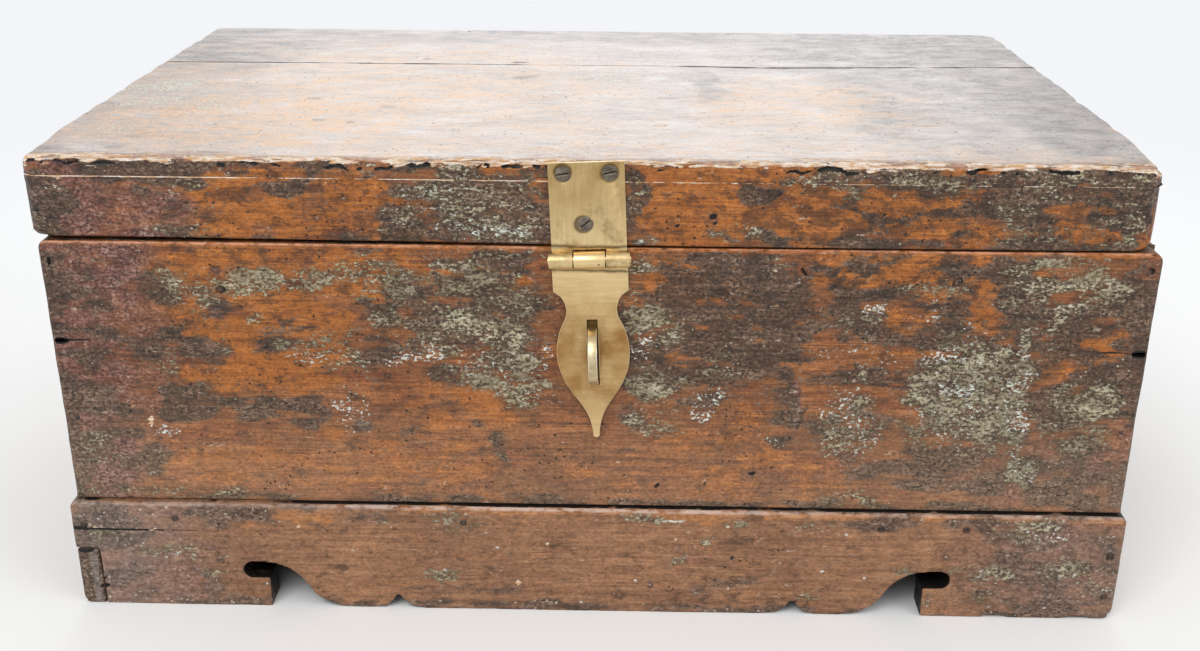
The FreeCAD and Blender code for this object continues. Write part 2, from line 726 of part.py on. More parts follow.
cleat_low = "sizes.plinth_height - sizes.cleat"
cleat_left = f"{plinth_left} + sizes.plinth_end_wall"
cleat_length = "2 * places.plinth_half - 2 * sizes.plinth_end_wall"
for node, cleat_front in (("cleat_front", plinth_end_front),
                          ("cleat_back", "places.plinth_back - sizes.plinth_front_wall - sizes.cleat")):
    keep_cut(node,
             board(node, (cleat_left, cleat_front, cleat_low), cleat_length, "sizes.cleat", "sizes.cleat"),
             [plinth_nail_holes])

# Lid: two boards nailed over four rails.

back_shares = [(0, 1), (1, 1)]
front_shares = [(0, 0), (1, 0)]
rail_depth = "sizes.case_depth - 2 * sizes.rail_wall"
keep_cut("lid_front_rail",
         board("lid_front_rail", (lid_left, "places.front", "places.lid_under"), "sizes.lid_width",
               "sizes.rail_wall", "sizes.rail_height", front_shares, "sizes.front_corner"),
         [lid_nail_holes, strap_screw_holes])
keep_cut("lid_back_rail",
         board("lid_back_rail", (lid_left, "places.back - sizes.rail_wall", "places.lid_under"),
               "sizes.lid_width", "sizes.rail_wall", "sizes.rail_height", back_shares, "sizes.back_corner"),
         [lid_nail_holes, lid_hinge_holes])
for node, rail_left in (("lid_left_rail", lid_left), ("lid_right_rail", f"{lid_right} - sizes.rail_wall")):
    keep_cut(node,
             board(node, (rail_left, "places.front + sizes.rail_wall", "places.lid_under"),
                   "sizes.rail_wall", rail_depth, "sizes.rail_height"),
             [lid_nail_holes])
keep_cut("lid_top_front",
         board("lid_top_front", (lid_left, "places.front", "places.rail_top"), "sizes.lid_width",
               "sizes.top_front_depth - sizes.board_gap", "sizes.top_thickness", front_shares,
               "sizes.front_corner"),
         [lid_nail_holes, strap_screw_holes])
keep_cut("lid_top_back",
         board("lid_top_back", (lid_left, "places.front + sizes.top_front_depth", "places.rail_top"),
               "sizes.lid_width", "sizes.case_depth - sizes.top_front_depth", "sizes.top_thickness",
               back_shares, "sizes.back_corner"),
         [lid_nail_holes])

# Hinges. A leaf is a plate that ends in a rolled barrel along X. Its barrel is cut away where
# the other leaf's knuckles turn.


def hinge_leaf(name, corners, bends, plate_front, thickness, barrel, other_knuckles, length):
    """corners outline the plate in X and Z. other_knuckles holds the middle and the length of
    each knuckle of the other leaf."""
    body = new_body(name + "_blank")
    ring = new_sketch(body, name + "_ring", "YZ_Plane")
    draw_circle(ring, barrel["radius"])
    pad(body, ring, name + "_barrel", length, centred=True)
    plate = new_sketch(body, name + "_outline", "XZ_Plane")
    plate.setExpression("AttachmentOffset.Base.z", f"-({plate_front})")
    draw_outline(plate, corners, bends)
    pad(body, plate, name + "_plate", thickness, reverse=True)
    bore = new_sketch(body, name + "_bore_ring", "YZ_Plane")
    draw_circle(bore, f"{barrel['pin']} + sizes.pin_clearance")
    hole = body.newObject("PartDesign::Pocket", name + "_bore")
    hole.Profile = bore
    hole.Midplane = True
    bind(hole, Length=f"{length} + 2 * sizes.overrun")
    reach = f"({barrel['radius']} + sizes.knuckle_gap)"
    for number, (middle, wide) in enumerate(other_knuckles, 1):
        gap = body.newObject("PartDesign::SubtractiveBox", f"{name}_gap_{number}")
        bind(gap, Length=f"{wide} + 2 * sizes.knuckle_gap", Width=f"2 * {reach}", Height=f"2 * {reach}")
        put(gap, f"{middle} - ({wide}) / 2 - sizes.knuckle_gap", f"-{reach}", f"-{reach}")
        body.Tip = gap
    return body


hasp_barrel = {"radius": "sizes.hasp_barrel_radius", "pin": "sizes.hasp_pin_radius"}
outer_knuckle = "((sizes.hasp_barrel_length - sizes.hasp_middle_knuckle) / 2)"
outer_middle = "((sizes.hasp_barrel_length + sizes.hasp_middle_knuckle) / 4)"

strap_half = "sizes.strap_width / 2"
strap_corners = [
    (f"-{strap_half}", "0"),
    (strap_half, "0"),
    (strap_half, "places.strap_height"),
    (f"-{strap_half}", "places.strap_height"),
]
leaf_knuckle = [("0", "sizes.hasp_middle_knuckle")]
strap_blank = hinge_leaf("hasp_strap", strap_corners, None, strap_face, "sizes.strap_thickness",
                         hasp_barrel, leaf_knuckle, "sizes.hasp_barrel_length")
keep_cut("hasp_strap", put_on_hasp(strap_blank), [strap_screw_holes])

# Half the leaf's outline: shares of its width across and of its length down from the pin.
leaf_shoulder_share = (0.5, 0.172)
leaf_step_share = (0.41, 0.198)
leaf_neck_share = (0.34, 0.264)
leaf_waist_share = (0.385, 0.34)
leaf_belly_share = (0.49, 0.512)
leaf_flank_share = (0.335, 0.718)
leaf_tail_share = (0.208, 0.792)
leaf_hollow_share = (0.112, 0.86)
leaf_tip_share = (0.043, 0.982)


def on_leaf(share, side):
    across, down = share
    return f"sizes.leaf_width * {side * across}", f"-sizes.leaf_length * {down}"


leaf_left = [leaf_shoulder_share, leaf_step_share, leaf_waist_share, leaf_flank_share, leaf_tail_share,
             leaf_tip_share]
leaf_corners = [("-sizes.leaf_width / 2", "0")]
leaf_corners += [on_leaf(share, -1) for share in leaf_left]
leaf_corners += [on_leaf(share, 1) for share in reversed(leaf_left)]
leaf_corners += [("sizes.leaf_width / 2", "0")]
leaf_bends = {
    2: on_leaf(leaf_neck_share, -1),
    3: on_leaf(leaf_belly_share, -1),
    5: on_leaf(leaf_hollow_share, -1),
    6: ("0", "-sizes.leaf_length"),
    7: on_leaf(leaf_hollow_share, 1),
    9: on_leaf(leaf_belly_share, 1),
    10: on_leaf(leaf_neck_share, 1),
}
leaf_front = "places.hasp_wood - sizes.leaf_stand - sizes.leaf_thickness"
strap_knuckles = [(f"-{outer_middle}", outer_knuckle), (outer_middle, outer_knuckle)]
hasp_leaf = hinge_leaf("hasp_leaf", leaf_corners, leaf_bends, leaf_front, "sizes.leaf_thickness",
                       hasp_barrel, strap_knuckles, "sizes.hasp_barrel_length")
slot = hasp_leaf.newObject("PartDesign::SubtractiveBox", "hasp_leaf_slot")
bind(slot, Length="sizes.slot_width", Width="sizes.leaf_thickness + 2 * sizes.overrun",
     Height="sizes.slot_length")
put(slot, "-sizes.slot_width / 2", f"{leaf_front} - sizes.overrun",
    "-sizes.slot_place - sizes.slot_length / 2")
hasp_leaf.Tip = slot
keep("hasp_leaf", put_on_hasp(hasp_leaf))


def hinge_pin(name, radius, length):
    body = new_body(name)
    ring = new_sketch(body, name + "_ring", "YZ_Plane")
    draw_circle(ring, radius)
    pad(body, ring, name + "_rod", f"{length} + 2 * sizes.pin_stand", centred=True)
    return body


keep("hasp_pin", put_on_hasp(hinge_pin("hasp_pin", "sizes.hasp_pin_radius", "sizes.hasp_barrel_length")))

# Staple: a flat band bent to a half ring, its legs through the front and clinched inside.

staple = new_body("staple")
bent_band = new_sketch(staple, "staple_outline", "YZ_Plane")
ring_y = "places.hasp_wood - sizes.staple_stand"
wall_inside = "places.hasp_wood + sizes.wall + sizes.hole_clearance"
clinch_out = f"{wall_inside} + sizes.staple_thickness"
inner_radius = "(sizes.staple_radius - sizes.staple_thickness)"
clinch_end = "(sizes.staple_radius + sizes.staple_clinch)"
ring_z = "-sizes.staple_drop"
draw_outline(bent_band, [
    (ring_y, f"{ring_z} + sizes.staple_radius"),
    (wall_inside, f"{ring_z} + sizes.staple_radius"),
    (wall_inside, f"{ring_z} + {clinch_end}"),
    (clinch_out, f"{ring_z} + {clinch_end}"),
    (clinch_out, f"{ring_z} + {inner_radius}"),
    (ring_y, f"{ring_z} + {inner_radius}"),
    (ring_y, f"{ring_z} - {inner_radius}"),
    (clinch_out, f"{ring_z} - {inner_radius}"),
    (clinch_out, f"{ring_z} - {clinch_end}"),
    (wall_inside, f"{ring_z} - {clinch_end}"),
    (wall_inside, f"{ring_z} - sizes.staple_radius"),
    (ring_y, f"{ring_z} - sizes.staple_radius"),
], {
    5: (f"{ring_y} - {inner_radius}", ring_z),
    11: (f"{ring_y} - sizes.staple_radius", ring_z),
})
pad(staple, bent_band, "staple_band", "sizes.staple_band", centred=True)
keep("staple", put_on_hasp(staple))

plate_blank = new_body("staple_plate_blank")
plate_outline = new_sketch(plate_blank, "staple_plate_outline", "XZ_Plane")
plate_outline.setExpression("AttachmentOffset.Base.z", "-(places.hasp_wood - sizes.staple_plate_thickness)")
plate_z = f"{ring_z} + sizes.staple_plate_rise"
draw_outline(plate_outline, [
    ("-sizes.staple_plate_reach", plate_z),
    ("0", f"{plate_z} - sizes.staple_plate_reach"),
    ("sizes.staple_plate_reach", plate_z),
    ("0", f"{plate_z} + sizes.staple_plate_reach"),
])
plate_pad = pad(plate_blank, plate_outline, "staple_plate_pad", "sizes.staple_plate_thickness",
                reverse=True)
doc.recompute()
plate_edges = [f"Edge{number}" for number, edge in enumerate(plate_pad.Shape.Edges, 1)
               if edge.Length < value("sizes.staple_plate_thickness") + near]
rounded(plate_blank, plate_pad, "staple_plate_corners", "sizes.staple_plate_round", plate_edges)
keep_cut("staple_plate", put_on_hasp(plate_blank), [staple_leg_holes])

# Back hinges: two butt hinges laid on the back, three knuckles each.

knuckle_steps = {"upper": [-1, 1], "lower": [0]}
knuckle_count = sum(len(steps) for steps in knuckle_steps.values())
knuckle = f"sizes.hinge_length / {knuckle_count}"
back_barrel = {"radius": "sizes.hinge_barrel_radius", "pin": "sizes.hinge_pin_radius"}
hinge_half = "sizes.hinge_length / 2"
for hand, spot in hinges.items():
    for leaf, side in (("upper", 1), ("lower", -1)):
        node = f"hinge_{hand}_{leaf}_leaf"
        far = f"{side} * sizes.hinge_leaf_height"
        others = [(f"{step} * {knuckle}", knuckle) for step in knuckle_steps[leaf]]
        outline = [(f"-{hinge_half}", "0"), (hinge_half, "0"), (hinge_half, far), (f"-{hinge_half}", far)]
        blank = hinge_leaf(node, outline, None, "sizes.hinge_barrel_radius - sizes.hinge_leaf_thickness",
                           "sizes.hinge_leaf_thickness", back_barrel, others, "sizes.hinge_length")
        put(blank, *spot, turn=turned_round)
        keep_cut(node, blank, [hinge_holes_by_leaf[hand, leaf]])
    pin = hinge_pin(f"hinge_{hand}_pin_rod", "sizes.hinge_pin_radius", "sizes.hinge_length")
    keep(f"hinge_{hand}_pin", put(pin, *spot, turn=turned_round))

doc.recompute()

# Every object must have come out, and every piece be sound, before any file is written.

for thing in doc.Objects:
    if "Invalid" in thing.State or "Error" in thing.State:
        raise RuntimeError(f"{thing.Name} failed: {thing.State}")
for node, thing in pieces.items():
    shape = thing.Shape
    if shape.isNull() or not shape.isValid() or shape.Volume <= 0:
        raise RuntimeError(f"{node} is not a sound solid")
    print(f"{node}: {len(shape.Solids)} solid, {shape.Volume:.0f} mm3")
for node, thing in pieces.items():
    thing.Shape.exportStep(f"parts/{node}.step")
print(len(pieces), "pieces")
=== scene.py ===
import math

import bmesh
import bpy
import numpy as np
from mathutils import Matrix, Vector


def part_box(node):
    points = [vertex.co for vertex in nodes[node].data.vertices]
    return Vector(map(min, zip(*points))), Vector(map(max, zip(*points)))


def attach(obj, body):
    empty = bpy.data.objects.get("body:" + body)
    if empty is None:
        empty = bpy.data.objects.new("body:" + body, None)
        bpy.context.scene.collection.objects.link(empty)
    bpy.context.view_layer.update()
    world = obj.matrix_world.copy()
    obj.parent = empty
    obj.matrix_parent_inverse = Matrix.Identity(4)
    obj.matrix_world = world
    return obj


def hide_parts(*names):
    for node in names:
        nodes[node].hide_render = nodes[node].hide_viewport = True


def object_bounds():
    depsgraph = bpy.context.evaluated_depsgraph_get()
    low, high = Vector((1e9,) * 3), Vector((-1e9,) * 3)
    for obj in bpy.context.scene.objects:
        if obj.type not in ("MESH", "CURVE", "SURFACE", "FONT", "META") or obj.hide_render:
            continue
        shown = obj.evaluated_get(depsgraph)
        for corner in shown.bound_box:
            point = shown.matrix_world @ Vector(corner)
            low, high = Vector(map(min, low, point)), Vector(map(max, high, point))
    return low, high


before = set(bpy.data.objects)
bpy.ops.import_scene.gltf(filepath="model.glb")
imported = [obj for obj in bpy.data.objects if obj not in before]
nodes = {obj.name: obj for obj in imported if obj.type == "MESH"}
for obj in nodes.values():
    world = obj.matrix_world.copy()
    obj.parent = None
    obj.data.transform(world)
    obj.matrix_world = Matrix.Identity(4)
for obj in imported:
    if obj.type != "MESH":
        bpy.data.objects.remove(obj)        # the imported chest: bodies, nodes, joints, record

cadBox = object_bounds()
boxLow, boxHigh = (np.array(corner) * 1000 for corner in cadBox)
print("frame loaded:", len(nodes), "nodes")

# Lengths here are in millimetres until a mesh is made. Photographed places are counted
# from the middle of the case front, so they are shifted into the frame with these two.
middle = 0.8
frontFace = -185.65


# camera
cameraSetup = {
    "lensPixels": 1361.4,
    "imageWidth": 1200,
    "sensor": 36.0,
    "place": (15.7, -880.0, 468.1),
    "yaw": -0.0186,
    "pitch": 0.3899,
    "roll": 0.006,
}


def addCamera(setup):
    yaw, pitch, roll = setup["yaw"], setup["pitch"], setup["roll"]
    ahead = Vector((math.sin(yaw) * math.cos(pitch), math.cos(yaw) * math.cos(pitch), -math.sin(pitch)))
    level = Vector((math.cos(yaw), -math.sin(yaw), 0))
    above = level.cross(ahead)
    right = level * math.cos(roll) + above * math.sin(roll)
    up = above * math.cos(roll) - level * math.sin(roll)
    data = bpy.data.cameras.new("camera")
    data.sensor_fit = "HORIZONTAL"
    data.sensor_width = setup["sensor"]
    data.lens = setup["lensPixels"] * setup["sensor"] / setup["imageWidth"]
    data.clip_start = 0.01
    camera = bpy.data.objects.new("camera", data)
    bpy.context.scene.collection.objects.link(camera)
    turn = Matrix((right, up, -ahead)).transposed().to_4x4()
    camera.matrix_world = Matrix.Translation(Vector(setup["place"]) / 1000) @ turn
    bpy.context.scene.camera = camera


addCamera(cameraSetup)
print("camera placed")


# noise on points
def blend01(low, high, value):
    t = np.clip((value - low) / (high - low), 0, 1)
    return t * t * (3 - 2 * t)


def fade01(low, high, value):
    return 1 - blend01(low, high, value)


def hump(value, riseFrom, riseTo, fallFrom, fallTo):
    return blend01(riseFrom, riseTo, value) * fade01(fallFrom, fallTo, value)


primes = (374761393, 668265263, 1274126177)
seedStep = 974634777


def scramble(key):
    # a repeatable random number from -1 to 1 for each whole number
    mask = np.int64(0xFFFFFFFF)
    h = key & mask
    h = ((h ^ (h >> 13)) * primes[2]) & mask
    h = ((h ^ (h >> 16)) * primes[0]) & mask
    return ((h ^ (h >> 15)) & np.int64(0xFFFFFF)) / 8388607.5 - 1


def cellOf(values, size):
    whole = np.floor(values / size)
    part = values / size - whole
    return whole.astype(np.int64), part * part * (3 - 2 * part)


def ripple(points, size, seed):
    keys, weights = [], []
    for axis, prime in enumerate(primes):
        whole, part = cellOf(points[:, axis], size[axis])
        key = whole * prime
        keys.append((key, key + prime))
        weights.append((1 - part, part))
    total = np.zeros(len(points))
    for a in (0, 1):
        for b in (0, 1):
            key = keys[0][a] + keys[1][b] + seed * seedStep
            weight = weights[0][a] * weights[1][b]
            total += weight * weights[2][0] * scramble(key + keys[2][0])
            total += weight * weights[2][1] * scramble(key + keys[2][1])
    return total


def fractal(points, size, seed, octaves=4):
    size = np.array(size, float)
    total = np.zeros(len(points))
    amount = 1.0
    for octave in range(octaves):
        total += amount * ripple(points, size, seed + 17 * octave)
        amount /= 2
        size = size / 2
    return total


def alongX(x, size, seed):
    total, amount = np.zeros(len(x)), 1.0
    for octave in range(3):
        whole, part = cellOf(x, size)
        key = whole * primes[0] + (seed + 17 * octave) * seedStep
        total += amount * ((1 - part) * scramble(key) + part * scramble(key + primes[0]))
        amount, size = amount / 2, size / 2
    return total


# meshes
def linkMesh(name, points, faces, smooth=True):
    mesh = bpy.data.meshes.new(name)
    mesh.from_pydata(np.asarray(points) / 1000, [], faces)
    mesh.validate()
    mesh.update()
    mesh.polygons.foreach_set("use_smooth", [smooth] * len(mesh.polygons))
    piece = bpy.data.objects.new(name, mesh)
    bpy.context.scene.collection.objects.link(piece)
    return piece


def dress(piece, node, body, slot, *materials):
    for material in materials:
        piece.data.materials.append(material)
    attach(piece, body)
    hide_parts(node)
    return piece


def boxOf(node):
    return [np.array(corner) * 1000 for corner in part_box(node)]


def gridStops(low, high, step, finer=()):
    # Rows stand closer towards both ends, and closer still in the stretches given.
    ends = np.array([0, 0.35, 0.8, 1.4, 2.2, 3.2, 4.6])
    values = list(low + ends) + list(high - ends)
    values += list(np.arange(low + ends[-1] + step, high - ends[-1] - step * 0.4, step))
    for start, stop, fine in finer:
        values = [v for v in values if not start <= v <= stop or v in (low, high)]
        values += [v for v in np.arange(start, stop + fine / 2, fine) if low < v < high]
    values = np.unique(np.round(values, 3))
    kept = [values[0]]
    for value in values[1:-1]:
        if value - kept[-1] > 0.2 and values[-1] - value > 0.2:
            kept.append(value)
    return np.array(kept + [values[-1]])


def boxGrid(stops):
    # a closed skin over a block, with one row of points at each stop on each axis
    nx, ny, nz = (len(s) for s in stops)
    shell = np.ones((nx, ny, nz), bool)
    shell[1:-1, 1:-1, 1:-1] = False
    number = np.full((nx, ny, nz), -1)
    number[shell] = np.arange(shell.sum())
    i, j, k = np.nonzero(shell)
    points = np.stack([stops[0][i], stops[1][j], stops[2][k]], axis=1)

    def sheet(a, flip):
        quads = np.stack([a[:-1, :-1], a[1:, :-1], a[1:, 1:], a[:-1, 1:]], axis=-1).reshape(-1, 4)
        return quads[:, ::-1] if flip else quads

    faces = np.concatenate([
        sheet(number[0], True), sheet(number[-1], False),
        sheet(number[:, 0], False), sheet(number[:, -1], True),
        sheet(number[:, :, 0], True), sheet(number[:, :, -1], False),
    ])
    return points, faces


sideNames = (("left", "right"), ("front", "back"), ("bottom", "top"))
evenCorner = 0.293  # how far from an axis the normal half way round an edge is
fullWear = 1.6  # edges of this radius and more take all the wear


def roundEdges(points, low, high, radii, flush=()):
    # Every edge of the block has its own radius: radii["frontTop"], radii["leftTop"] and so on.
    # A flush face lies against the next board, so the block isn't rounded towards it.
    upper = points > (low + high) / 2
    near = np.where(upper, high - points, points - low)
    total = np.full(len(points), 1e-9)
    radius = np.full(len(points), 1e-9 * radii["edge"])
    hidden = np.zeros(points.shape, bool)
    for axis, names in enumerate(sideNames):
        for side in (0, 1):
            if names[side] in flush:
                hidden[:, axis] |= upper[:, axis] == side
    for a, b, third in ((0, 1, 2), (0, 2, 1), (1, 2, 0)):
        weight = np.where(hidden[:, third], 50.0, near[:, third]) ** 3
        weight = np.where(hidden[:, a] | hidden[:, b], 0, weight)
        for sideA in (0, 1):
            for sideB in (0, 1):
                pick = (upper[:, a] == sideA) & (upper[:, b] == sideB)
                names = (sideNames[a][sideA], sideNames[b][sideB])
                value = radii.get(names[0] + names[1].title(), radii["edge"])
                value = value(points[pick]) if callable(value) else value
                radius[pick] += weight[pick] * value
                total[pick] += weight[pick]
    radius = radius / total
    r = radius[:, None]
    core = np.where(upper, np.minimum(points, high - r), np.maximum(points, low + r))
    core = np.where(hidden, points, core)
    out = points - core
    length = np.linalg.norm(out, axis=1, keepdims=True)
    normal = out / np.maximum(length, 1e-6)
    corner = np.where(length[:, 0] > 1e-6, 1 - np.abs(normal).max(axis=1), 0)
    return core + normal * r, normal, corner / evenCorner, np.minimum(radius / fullWear, 1)


def roundCorner(points, low, high, name, radius):
    # one corner of a board's outline: "leftTop" is seen from the front, "leftBack" from above
    first = name.startswith("right")
    if name.endswith("Top") or name.endswith("Bottom"):
        axes, second = (0, 2), name.endswith("Top")
    else:
        axes, second = (0, 1), name.endswith("Back")
    radius = radius(points) if callable(radius) else radius
    signs, spans = [], []
    for axis, upper in zip(axes, (first, second)):
        sign = 1 if upper else -1
        corner = high[axis] if upper else low[axis]
        signs.append((axis, sign, corner))
        spans.append((points[:, axis] - corner) * sign + radius)
    u, v = spans
    inside = (u > 0) & (v > 0)
    pull = np.where(inside, np.maximum(u, v) / np.maximum(np.hypot(u, v), 1e-6), 1)
    for (axis, sign, corner), span in zip(signs, spans):
        points[:, axis] = corner + sign * (span * pull - radius)
    return points


marks = ("paint", "dark", "bright", "stain", "bare", "dirt", "fleck", "wash", "specks", "rim")


def setMarks(piece, fields):
    mesh = piece.data
    for name in marks:
        values = fields.get(name)
        if values is None:
            values = np.zeros(len(mesh.vertices))
        attribute = mesh.attributes.new(name, "FLOAT", "POINT")
        attribute.data.foreach_set("value", np.clip(values, 0, 1).astype(np.float32))


def patches(x, z, table, grain):
    # Each row: left, right, lowest, highest, amount. Edges fade, and noise breaks them up.
    field = np.zeros(len(x))
    for left, right, lowest, highest, amount in table:
        rx = max((right - left) / 2, 1.0)
        rz = max((highest - lowest) / 2, 1.0)
        d = np.abs((x - (left + right) / 2) / rx) ** 2.2 + np.abs((z - (lowest + highest) / 2) / rz) ** 2.2
        field = np.maximum(field, amount * fade01(0.3, 2.3, d))
    return np.clip(field * (1 + 0.5 * grain) + 0.12 * grain * (field > 0.02), 0, 1)


def spots(x, z, table):
    # small round or long marks: x, z, half width, half height
    field = np.zeros(len(x))
    for cx, cz, rx, rz in table:
        d = np.hypot((x - cx) / rx, (z - cz) / rz)
        field = np.maximum(field, fade01(0.7, 1.25, d))
    return field


# where the finish is worn, painted or stained
caseFrontMarks = {
    "stain": [(-312, -264, 60, 235, 0.8), (-302, -285, 138, 172, 1), (-272, -245, 190, 228, 0.9),
              (-266, -240, 110, 190, 0.4), (-300, -262, 75, 110, 0.5), (292, 310, 70, 230, 0.3),
              (210, 300, 74, 112, 0.4)],
    "dark": [(-250, -215, 120, 145, 0.75), (-215, -170, 124, 136, 0.7), (-175, -150, 117, 135, 0.65),
             (-60, -45, 107, 116, 0.7), (-70, -58, 119, 126, 0.65), (-56, -49, 100, 110, 0.6),
             (24, 106, 142, 226, 0.95), (98, 122, 150, 226, 0.6), (288, 310, 178, 228, 0.95),
             (-310, -296, 66, 232, 0.9), (297, 312, 66, 232, 0.85),
             (236, 310, 70, 102, 0.65), (146, 300, 82, 112, 0.62), (-310, 310, 66, 75, 0.6),
             (-274, -250, 86, 104, 0.6), (-105, -28, 150, 226, 0.8), (-310, -262, 70, 232, 0.5),
             (-262, -205, 148, 226, 0.42), (-190, -104, 150, 190, 0.3), (120, 180, 120, 165, 0.5),
             (180, 300, 112, 205, 0.74), (96, 130, 92, 150, 0.45), (-150, -100, 98, 130, 0.3),
             (200, 262, 176, 222, 0.68), (112, 230, 176, 206, 0.6), (255, 300, 120, 205, 0.45),
             (-135, -95, 178, 222, 0.5), (14, 30, 100, 226, 0.6), (109, 118, 118, 148, 0.9),
             (118, 236, 204, 230, 0.5)],
    "bright": [(-236, -98, 196, 228, 0.75), (-215, -140, 140, 200, 0.7), (-240, -100, 74, 118, 0.35),
               (-104, -52, 74, 148, 0.45), (40, 104, 74, 130, 0.4), (-60, -40, 194, 208, 0.85),
               (-100, -78, 163, 177, 0.8), (-30, -18, 163, 177, 0.85), (33, 58, 199, 219, 1),
               (28, 42, 213, 222, 0.85), (60, 86, 202, 209, 0.7), (118, 226, 204, 228, 0.7),
               (145, 232, 158, 205, 0.3), (-240, -190, 140, 196, 0.4), (104, 150, 74, 100, 0.35),
               (255, 292, 150, 200, 0.35), (-20, 24, 74, 108, 0.3)],
    "paint": [(-236, -212, 188, 216, 0.55), (-212, -172, 199, 213, 0.78), (-172, -148, 199, 213, 0.78),
              (-142, -98, 197, 221, 0.62), (-132, -98, 178, 192, 0.5), (-191, -183, 180, 189, 0.85),
              (-156, -128, 154, 182, 0.5), (-256, -240, 142, 161, 0.4), (-229, -214, 142, 151, 0.45),
              (-216, -204, 162, 173, 0.5), (-176, -164, 164, 173, 0.5), (-166, -149, 154, 169, 0.45),
              (-106, -28, 150, 224, 0.5), (-104, -58, 198, 224, 0.66), (-78, -26, 138, 168, 0.66),
              (-56, -28, 128, 146, 0.6), (16, 29, 193, 224, 0.6), (17, 50, 173, 197, 0.62),
              (17, 50, 138, 157, 0.6), (18, 44, 112, 142, 0.6), (57, 82, 148, 167, 0.45),
              (92, 105, 214, 226, 0.6), (170, 201, 202, 211, 0.62), (142, 159, 187, 196, 0.5),
              (131, 141, 182, 191, 0.5), (139, 149, 167, 178, 0.5), (149, 158, 149, 158, 0.5),
              (128, 162, 102, 147, 0.46), (176, 232, 110, 177, 0.6), (193, 222, 133, 157, 0.8),
              (230, 242, 98, 182, 0.82), (224, 247, 118, 137, 0.8), (234, 253, 88, 106, 0.7),
              (242, 264, 148, 174, 0.4), (256, 292, 128, 150, 0.6), (224, 286, 196, 227, 0.58),
              (234, 252, 214, 226, 0.78), (254, 271, 204, 221, 0.75), (249, 257, 179, 201, 0.62),
              (235, 249, 179, 188, 0.62), (-300, -270, 88, 112, 0.4), (248, 292, 106, 127, 0.5),
              (-310, -190, 68, 78, 0.4), (130, 172, 68, 79, 0.45), (-30, 18, 196, 226, 0.45)],
    "fleck": [(-147, -133, 113, 142, 0.62), (-252, -236, 109, 119, 0.55), (-122, -98, 157, 163, 0.55),
              (-31, -21, 153, 172, 0.55), (-96, -84, 159, 169, 0.55), (24, 34, 169, 179, 0.55),
              (19, 27, 159, 169, 0.55), (54, 69, 127, 141, 0.55), (93, 101, 181, 185, 0.5),
              (93, 105, 111, 116, 0.6), (180, 190, 185, 192, 0.5), (194, 207, 181, 187, 0.45),
              (179, 188, 197, 200, 0.4), (-75, -28, 138, 168, 0.3), (182, 225, 115, 172, 0.44),
              (230, 242, 104, 180, 0.45), (130, 160, 103, 145, 0.45), (142, 158, 188, 195, 0.5),
              (236, 254, 90, 105, 0.5), (-170, -150, 152, 168, 0.35), (120, 170, 150, 180, 0.16)],
    "specks": [(118, 232, 204, 228, 0.9), (150, 232, 160, 204, 0.4), (-240, -100, 190, 228, 0.4),
               (-100, 20, 74, 140, 0.35), (40, 110, 74, 130, 0.4), (-250, -100, 74, 190, 0.3)],
}
caseFrontDents = [(111.2, 216.8, 0.8, 1.0), (112.2, 215.4, 0.9, 1.0), (113.3, 214.1, 0.8, 0.9),
                  (-299.5, 216.5, 1.0, 2.4), (299, 218, 1.6, 1.8)]
caseFrontSpots = {
    "dirt": caseFrontDents + [
        (-118, 130, 0.6, 4), (90, 92, 1.8, 1.1), (35, 83, 1.6, 1.2), (63, 84, 1.4, 1.2),
        (-298.5, 169.6, 3.6, 1.0), (299, 170, 3.6, 1.2), (-206.2, 201.2, 2.6, 2.6),
        (196, 210.6, 2.6, 2.6), (271, 76, 1, 1), (-290, 169.8, 8, 0.5), (284, 170.3, 12, 0.4)],
    "stain": [(-208, 212, 3.0, 3.0), (113.6, 139, 2.2, 9), (113.2, 126, 2.0, 7), (112, 148, 1.2, 3)],
    "bare": [(-255, 120, 1.6, 3.4), (-261, 199, 1.3, 0.7), (271, 77.5, 1.2, 1.2)],
}

